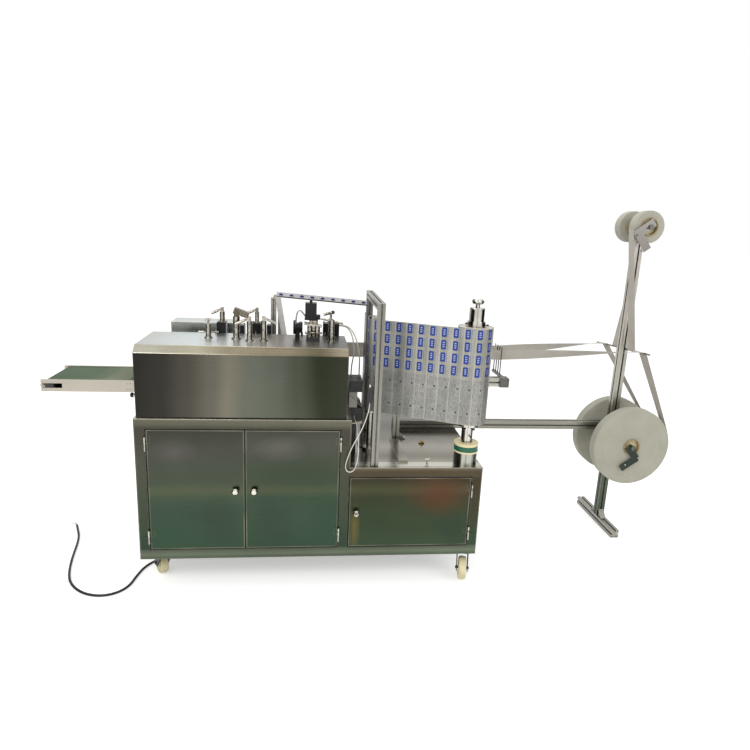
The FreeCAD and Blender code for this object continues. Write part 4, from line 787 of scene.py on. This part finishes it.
def cord_end():
    """Three bare conductors that fan out of the cut end of the power cord."""
    last = Vector(power_route[-1])
    wires = []
    for index, (tip, colour) in enumerate((((-466, 574, 1.2), tone(150, 96, 60)), ((-486, 566, 1.2), tone(70, 92, 150)),
                                           ((-478, 582, 3), tone(150, 160, 70)))):
        side = Vector((3 * (index - 1), 1, 0))
        route = [last + side * 0.4, last + side * 1.4 + Vector((-6, 12, -1)), tip]
        sheath = plastic(f"conductor {index + 1}", colour, 0.45, 900)
        wires.append(cord_curve(f"power_wire_{index + 1}", route, 1.8, sheath))
    return wires


def cord_relief():
    """The tapered sleeve where the power cord leaves its gland."""
    form = Form()
    form.lathe([(5.1, 0), (9, 0), (9, 6), (8.2, 8), (6.4, 34), (5.1, 36), (5.1, 0)], power_route[0], (0, 0, -1), 32)
    return form.build("power_cord_relief", "machine", [cord_black])


cord_rows = (
    ("power_cord", "_sheath", power_route, 10, cord_black, "black_rubber", 1.296, "bare", "stiff", "loose"),
    ("sensor_cord", "_sheath", sensor_route, 4, white_sheath, "white_tube", 0.669, "object", "limp", "hanging"),
    ("left_hose", "_tube", left_hose_route, 6, clear_tube, "white_tube", 0.26, "object", "medium", "hanging"),
    ("right_hose", "_tube", right_hose_route, 6, clear_tube, "white_tube", 0.276, "object", "medium", "hanging"))
cords = [cord_curve(node + part, route, width, material, (node,))
         for node, part, route, width, material, slot, *_ in cord_rows]
for cord, (node, _, route, width, _, _, length, far_end, stiffness, lay) in zip(cords, cord_rows):
    pieces = {"with_pieces": [*cord_end(), cord_relief()]} if node == "power_cord" else {}
    at(*route[0])
    width * MM


# Rolls of white web

def wound_roll(node, core_inner, core_outer):
    """A wound roll with a slightly crowned face, a proud card core and a turned hub."""
    low, high = span(node)
    radius = (high.x - low.x) / 2
    centre = Vector(((low.x + high.x) / 2, low.y, (low.z + high.z) / 2))
    over = 4
    width = high.y - low.y - 2 * over
    start = centre + Vector((0, over, 0))
    half = [(core_outer, 0.6), (core_outer + 5, 0.1), (radius * 0.55, 0.7), (radius - 2.5, 0.15), (radius, 2.2)]
    outline = half + [(r, width - y) for r, y in reversed(half)] + half[:1]
    form = Form()
    form.lathe(outline, start, (0, 1, 0), 128)
    form.tube(core_inner, core_outer, -over, width + over, start, (0, 1, 0), 96, 1)
    middle = width / 2
    rim = [(core_inner, -8), (core_inner, 8), (20, 8), (20, 12), (12.1, 12)]
    form.lathe([(r, middle + y) for r, y in [(12.1, -12), (20, -12), (20, -8)] + rim + [(12.1, -12)]],
               start, (0, 1, 0), 64, 2)
    form.build(node + "_web", node, [roll_side(node + "_web side", at(*centre)), card, cream],
               (node,), 30)


for node in ("big_roll_front", "big_roll_back", "small_roll_front", "small_roll_back"):
    wound_roll(node, 37, 41.5)


# Foil

def standing_sheet(name, path, thickness, body, ripple, node, start_u=0):
    """A printed sheet on edge along a path in plan, with faint ripples; UVs are metres along and up."""
    rows = 24
    mesh = bmesh.new()
    uv_layer = mesh.loops.layers.uv.new("UVMap")
    lengths = [start_u]
    for a, b in zip(path, path[1:]):
        lengths.append(lengths[-1] + (b - a).length * MM)
    sides = []
    for index, point in enumerate(path):
        along = (path[min(len(path) - 1, index + 1)] - path[max(0, index - 1)]).normalized()
        across = Vector((along.y, -along.x, 0))
        spots = [(Vector((point.x, point.y, foil_bottom + foil_height * row / rows)),
                  ripple(lengths[index], row / rows)) for row in range(rows + 1)]
        sides.append([[mesh.verts.new(at(*(spot + across * (half + swing)))) for spot, swing in spots]
                      for half in (-thickness / 2, thickness / 2)])

    def skin(corners, uvs):
        for loop, uv in zip(mesh.faces.new(corners).loops, uvs):
            loop[uv_layer].uv = uv

    def up(row):
        return foil_height * MM * row / rows

    for index, (start, end) in enumerate(zip(lengths, lengths[1:])):
        here, there = sides[index], sides[index + 1]
        for row in range(rows):
            spot = [(start, up(row)), (end, up(row)), (end, up(row + 1)), (start, up(row + 1))]
            for a, b in zip(here, there):
                skin((a[row], b[row], b[row + 1], a[row + 1]), spot)
        for row in (0, rows):
            skin((here[0][row], there[0][row], there[1][row], here[1][row]), [(start, up(row))] * 4)
    for (a, b), length in ((sides[0], lengths[0]), (sides[-1], lengths[-1])):
        for row in range(rows):
            skin((a[row], b[row], b[row + 1], a[row + 1]), [(length, 0)] * 4)
    return place_mesh(mesh, name, body, [foil_print], (node,), 50)


roll_low, roll_high = span("foil_roll")
reel = Vector(((roll_low.x + roll_high.x) / 2, (roll_low.y + roll_high.y) / 2, 0))
reel_radius = (roll_high.x - roll_low.x) / 2
foil_bottom = roll_low.z
foil_height = roll_high.z - roll_low.z
GUIDE = Vector((940, 215, 0))
GUIDE_RADIUS = 25.3
REEL_TOUCH = reel_radius + 0.3
FREE_STEPS, ROUND_STEPS, PLATE_STEPS = 60, 12, 10
PLATE_RUN = Vector((0, 80, 0))


def around(angle):
    return Vector((math.cos(angle), math.sin(angle), 0))


def foil_path():
    """From the reel round the guide roller to the forming plate, in plan, and the angle at which it leaves."""
    line = GUIDE - reel
    heading = math.atan2(line.y, line.x)
    lean = math.asin((REEL_TOUCH - GUIDE_RADIUS) / line.length)
    angle = heading + math.pi / 2 - lean
    if math.sin(angle) > 0:
        angle = heading - math.pi / 2 + lean
    turn = angle % (2 * math.pi)
    start, touch = reel + around(angle) * REEL_TOUCH, GUIDE + around(angle) * GUIDE_RADIUS
    points = [start.lerp(touch, step / FREE_STEPS) for step in range(FREE_STEPS)]
    points += [GUIDE + around(turn + (math.pi - turn) * step / ROUND_STEPS) * GUIDE_RADIUS
               for step in range(ROUND_STEPS + 1)]
    plate = points[-1]
    points += [plate.lerp(plate + PLATE_RUN, step / PLATE_STEPS) for step in range(1, PLATE_STEPS + 1)]
    return points, turn


foil_points, leave_angle = foil_path()
FREE_RUN = (foil_points[FREE_STEPS] - foil_points[0]).length * MM


def run_length(points):
    return sum((b - a).length for a, b in zip(points, points[1:])) * MM


def web_ripple(along, up):
    """Slack waves in the free run, none where the foil is wound or guided."""
    if not 0 < along < FREE_RUN:
        return 0
    share = math.sin(math.pi * along / FREE_RUN)
    wave = math.sin(along * 21 + up * 2.2) * 0.9 + math.sin(along * 47 - up * 3.1 + 1) * 0.35
    return wave * share * (0.5 + 0.5 * up) * 1.6


foil_web = standing_sheet("foil_web_sheet", foil_points, 0.5, "machine", web_ripple, "foil_web")
round(run_length(foil_points), 3)


def foil_reel():
    """The wound foil: outer layer with print, spiral edges and card core."""
    steps = 160
    skin = reel_radius - 0.4
    wound = [reel + around(leave_angle + 2 * math.pi * (1 - step / steps)) * skin for step in range(steps + 1)]
    standing_sheet("foil_roll_skin", wound, 0.6, "foil_reel", lambda along, up: 0, "foil_roll",
                   -2 * math.pi * skin * MM)
    base = (reel.x, reel.y, foil_bottom)
    inner, outer = 42, reel_radius - 0.7
    half = [(inner, 0.4), (inner + 4, 0), (outer - 3, 0.5), (outer, 1.4)]
    form = Form()
    form.lathe(half + [(r, foil_height - z) for r, z in reversed(half)] + half[:1], base, steps=96)
    form.tube(38, inner, 0, foil_height, base, (0, 0, 1), 72, 1)
    form.build("foil_roll_body", "foil_reel", [wound_edges("foil edges", at(*reel)), card],
               ("foil_roll",), 35)


foil_reel()


# Bands of web from the rolls over the skewed rod to the comb

ROD = Vector((2240, 540, 952))
ROD_RADIUS = 4
ROD_TURN = math.radians(19)
ROD_LINE = Vector((-math.sin(ROD_TURN), math.cos(ROD_TURN), 0))
BAND = 46
BAND_THICK = 0.6
BAND_GAP = 0.3 + BAND_THICK / 2
COMB_X = 1576
TWIST_SHARE = 0.9
UP = Vector((0, 0, 1))


def rod_at(y):
    return ROD + ROD_LINE * ((y - ROD.y) / ROD_LINE.y)


def ribbon(name, sections):
    """A thin band through sections of centre, half width vector and normal, closed all round."""
    mesh = bmesh.new()
    across = 8
    rings = []
    for centre, half, normal in sections:
        top, under = ([centre + half * (2 * i / across - 1) + normal * lift for i in range(across + 1)]
                      for lift in (BAND_THICK / 2, -BAND_THICK / 2))
        rings.append([mesh.verts.new(at(*p)) for p in top + under[::-1]])
    for a, b in zip(rings, rings[1:]):
        for i in range(len(a)):
            after = (i + 1) % len(a)
            mesh.faces.new((a[i], a[after], b[after], b[i]))
    for ring in (rings[0], rings[-1]):
        mesh.faces.new(ring)
    return place_mesh(mesh, name, "machine", [band_white], ("nonwoven_webs",), 60)


def band_run(node, side, lane):
    """Sections from a roll's tangent point to the rod, twisting to lie on it."""
    low, high = span(node)
    centre = (low + high) / 2
    rod = rod_at(lane)
    line = rod - centre
    r0 = (high.x - low.x) / 2 + BAND_GAP
    r1 = ROD_RADIUS + BAND_GAP
    angle = math.atan2(line.z, line.x) + side * math.acos((r0 - r1) / math.hypot(line.x, line.z))
    normal = Vector((math.cos(angle), 0, math.sin(angle)))
    start = centre + normal * r0
    end_normal = ROD_LINE.cross(rod + normal * r1 - start).normalized()
    if end_normal.dot(normal) < 0:
        end_normal = -end_normal
    end = rod + end_normal * r1
    sections = []
    steps = 24
    for share in (step / steps for step in range(steps + 1)):
        across = Vector((0, 1, 0)).lerp(ROD_LINE, share).normalized()
        sections.append((start.lerp(end, share), across * BAND / 2, normal.lerp(end_normal, share).normalized()))
    return sections, end_normal


def band_over(end_normal, lane):
    """Round the rod from where the band lands to its top."""
    facings = [end_normal.slerp(UP, step / 8).normalized() for step in range(1, 9)]
    return [(rod_at(lane) + facing * (ROD_RADIUS + BAND_GAP), ROD_LINE * BAND / 2, facing) for facing in facings]


def band_to_comb(lane, comb_y, comb_z):
    """From the top of the rod, slowly turning on edge, between the comb's pins and on to the bed."""
    top = rod_at(lane) + UP * (ROD_RADIUS + BAND_GAP)
    comb = Vector((COMB_X, comb_y, comb_z))
    end = Vector((span("upper_housing")[1].x + 0.3, comb_y, comb_z))
    flat = ROD_LINE * BAND / 2
    standing = UP * -BAND / 2
    aside = Vector((0, 1, 0))
    sections = []
    steps = 24
    for step in range(1, steps):
        turn = math.radians(90 * step / steps)
        sections.append((top.lerp(comb, TWIST_SHARE * step / steps), flat * math.cos(turn) + standing * math.sin(turn),
                         Vector((0, math.sin(turn), math.cos(turn)))))
    sections += [(top.lerp(comb, TWIST_SHARE + (1 - TWIST_SHARE) * step / 16), standing, aside) for step in range(17)]
    return sections + [(comb.lerp(end, step / 20), standing, aside) for step in range(1, 21)]


for node, side, lane, comb_place in (("big_roll_front", -1, 425, (440, 924)), ("big_roll_back", -1, 652, (504, 934)),
                                     ("small_roll_front", -1, 482, ()), ("small_roll_back", 1, 585, ())):
    run, landed = band_run(node, side, lane)
    if comb_place:
        run = run + band_over(landed, lane) + band_to_comb(lane, *comb_place)
    ribbon(node + "_band", run)
    round(run_length([centre for centre, _, _ in run]), 3)


# Foil strip on the bridge

def strip_run(name, start, end, steps, tall, material):
    """A thin standing strip from start to end, as tall as the vector tall, with a slight waver."""
    points = [Vector(start).lerp(Vector(end), i / steps) for i in range(steps + 1)]
    thick = Vector((0, 0.5, 0))
    mesh = bmesh.new()
    uv = mesh.loops.layers.uv.new("UVMap")
    rings = []
    for index, low in enumerate(points):
        waver = Vector((0, 0.1 * math.sin(index * 0.9), 0))
        spots = (low, low + tall, low + tall + thick, low + thick)
        rings.append([mesh.verts.new(at(*(spot - waver))) for spot in spots])
    width = tall.length * MM
    travelled = 0
    for index, (a, b) in enumerate(zip(rings, rings[1:])):
        ahead = travelled + (points[index + 1] - points[index]).length * MM
        for i, (v0, v1) in enumerate(((0, width), (width, width), (width, 0), (0, 0))):
            face = mesh.faces.new((a[i], b[i], b[(i + 1) % 4], a[(i + 1) % 4]))
            for loop, spot in zip(face.loops, ((travelled, v0), (ahead, v0), (ahead, v1), (travelled, v1))):
                loop[uv].uv = spot
        travelled = ahead
    for ring in (rings[0], rings[-1]):
        mesh.faces.new(ring)
    strip = place_mesh(mesh, name, "machine", [material], ("foil_strip",))


STRIP_Y = span("foil_strip")[0].y
strip_run("foil_strip_sheet", (520, STRIP_Y, 1166), (930, STRIP_Y, 1138), 40, Vector((0, 0, 22)),
          strip_print("strip foil"))
strip_run("foil_strip_drop", (513, STRIP_Y, 1166), (546, STRIP_Y, 972.4), 20, Vector((25, 0, 0)), strip_back)


# Small parts on the heads, the reel and the housing

def screws(name, places, radius, height):
    """Round screw heads with a dark socket; places are a point and the direction in which the head looks."""
    form = Form()
    for place, direction in places:
        form.lathe([(0, 0), (radius, 0), (radius, height * 0.75), (radius * 0.85, height), (radius * 0.5, height),
                    (radius * 0.5, height * 0.4), (0, height * 0.4)], place, direction, 20)
    form.build(name, "machine", [dull_chrome])


block_tops = ((293, 39, 1064), (370.5, 41, 1054), (442, 45, 1064), (742.5, 29, 1071), (785, 28, 1071))
screws("block_screws", [((x + shift * (width / 2 - 5), y, z), UP)
                        for x, width, z in block_tops for shift in (-1, 1) for y in (331, 367)], 3.5, 4)
screws("plate_screws", [((x, 20, z), (0, -1, 0)) for x in (-20, -8) for z in (846, 869)], 3, 2)

# Dark thumb screws round the spindle's sleeve and upper chuck; they turn with the reel
form = Form()
for angle, start, end, z, radius in ((-60, 22, 40, 688, 3.2), (-75, 22, 38, 655, 3.2), (-130, 22, 38, 686, 3.2),
                                     (-35, 36, 52, 1127, 3), (-165, 36, 50, 1130, 3), (80, 36, 50, 1127, 3)):
    along = around(math.radians(angle))
    base = reel + UP * z
    form.rod(base + along * start, base + along * (end - 4), radius * 0.7, 0.5, 20)
    form.rod(base + along * (end - 6), base + along * end, radius * 1.5, 1, 20)
form.build("chuck_screws", "foil_reel", [black_plastic])

# The small clamp knob at the left end of the housing, under the belt
form = Form()
form.rod((9, 60, 813), (-10, 60, 813), 6, 1)
form.rod((-9, 60, 813), (-20, 60, 813), 9.5, 2, paint=1)
form.build("side_knob", "machine", [chrome, black_plastic])

# The bright nut and the collar at the top of the sensor
form = Form()
form.rod((913, 27, 867), (913, 27, 874), 9, 1, 36)
flat_radius = 14 / math.sqrt(3)
form.lathe([(0, 0), (flat_radius, 0), (flat_radius, 4), (flat_radius * 0.86, 5), (0, 5)], (913, 27, 874), UP, 6)
form.build("sensor_ring", "machine", [chrome])

# Discs for the holes in the two keeper plates: pale behind the green one, and in the grey one dark discs of painted
# shade
form = Form()
for (x, y, z), offsets, paint in (((2261, 385.8, 415), ((-2, -30), (4, -82), (-26, -98)), 0),
                                  ((2220, 440.8, 1528), ((2, 12), (-44, -22), (-12, -92), (-26, -76)), 1)):
    for right, up in offsets:
        form.lathe([(0, 0), (4, 0), (4, 0.5), (0, 0.5)], (x + right, y, z + up), (0, -1, 0), 20, paint)
form.build("keeper_holes", "machine", [soft_white, black_plastic])

# A small brass fitting and a winged screw on the low table
form = Form()
form.slab(1178, 1204, 283, 293, 533.4, 540, 1.5)
form.slab(1188, 1196, 280, 296, 540, 547, 1.5)
form.build("table_fitting", "machine", [brass])
form = Form()
form.rod((1171, 49, 533.3), (1171, 49, 548), 3.5, 0.5, 20)
form.rod((1160, 47, 549), (1182, 51, 551), 3, 1, 20)
form.build("table_screw", "machine", [chrome])

# The bent tube beside the motor
cord_curve("head_tube", head_tube_route, 6, dull_chrome)


# Floor, light and camera

def stage_face(name, corners, look):
    """A flat piece beside the object, which belongs to the set."""
    mesh = bpy.data.meshes.new(name)
    mesh.from_pydata(corners, [], [(0, 1, 2, 3)])
    mesh.materials.append(look.material)
    obj = bpy.data.objects.new(name, mesh)
    scene.collection.objects.link(obj)
    return obj


REACH = 60
FLOOR_TOP = -0.0004
floor_look = Graph("floor")
floor_look.set(Base_Color=tone(238, 238, 236), Roughness=0.9, Emission_Color=(1, 1, 1, 1),
               Emission_Strength=floor_look.seen_rays() * 0.42)
stage_face("floor", [(x * REACH, y * REACH, FLOOR_TOP) for x, y in ((-1, -1), (1, -1), (1, 1), (-1, 1))], floor_look)

world = bpy.data.worlds.new("studio")
scene.world = world
world.use_nodes = True
sky = Graph("sky", world.node_tree)
background = sky.tree.nodes["Background"]
background.inputs["Color"].default_value = (1, 1, 1, 1)
sky.feed(background.inputs["Strength"], sky.spread(sky.seen_rays(), 0, 1, 0.72, 1))

for side, near, far in (("left", -2.3, -3.6), ("right", 2.4, 3.8)):
    for name, corners in ((side + "_card", [(far, -2.6, 0), (far, 0.9, 0), (far, 0.9, 2.8), (far, -2.6, 2.8)]),
                          (side + "_floor_card", [(near, -1.6, 0.001), (near, 0.9, 0.001), (far, 0.9, 0.001),
                                                  (far, -2.6, 0.001)])):
        # Only reflections see these dark cards; they give bright round metal its dark streaks
        card_look = Graph(name)
        card_look.set(Base_Color=tone(30, 30, 28), Roughness=1)
        dark_card = stage_face(name, corners, card_look)
        for ray in ("camera", "diffuse", "transmission", "shadow"):
            setattr(dark_card, "visible_" + ray, False)

for name, place, aim, size, power in (("key", (-2.2, -3.2, 3.4), (0, 0, 0.7), (2.4, 1.6), 70),
                                      ("fill", (3, -2.6, 2.4), (0.3, 0, 0.7), (2, 1.6), 30),
                                      ("top", (0.2, 0.6, 4.2), (0, 0, 0.6), (3, 2), 50)):
    lamp = bpy.data.lights.new(name, "AREA")
    lamp.shape = "RECTANGLE"
    lamp.size, lamp.size_y = size
    lamp.energy = power
    light = bpy.data.objects.new(name, lamp)
    scene.collection.objects.link(light)
    light.location = place
    light.rotation_mode = "QUATERNION"
    light.rotation_quaternion = (Vector(aim) - Vector(place)).to_track_quat("-Z", "Y")

camera_data = bpy.data.cameras.new("camera")
camera = bpy.data.objects.new("camera", camera_data)
scene.collection.objects.link(camera)
scene.camera = camera
PITCH, YAW, ROLL = 0.2422, -0.1172, 0.0452
FOCAL_PIXELS, IMAGE_PIXELS = 598.57, 750
camera_data.sensor_width = 36
camera_data.lens = FOCAL_PIXELS / IMAGE_PIXELS * camera_data.sensor_width
camera_data.clip_start = 0.05
camera_data.clip_end = 200
right, down, ahead = (Matrix.Rotation(ROLL, 3, "Z") @ Matrix.Rotation(PITCH, 3, "X") @ Matrix.Rotation(YAW, 3, "Y")
                      @ Matrix(((1, 0, 0), (0, 0, -1), (0, 1, 0))))
turned = Matrix((right, -down, -ahead)).transposed()
camera.matrix_world = Matrix.Translation(at(660.4, -2272, 1489.9)) @ turned.to_4x4()

scene.view_settings.view_transform = "Standard"
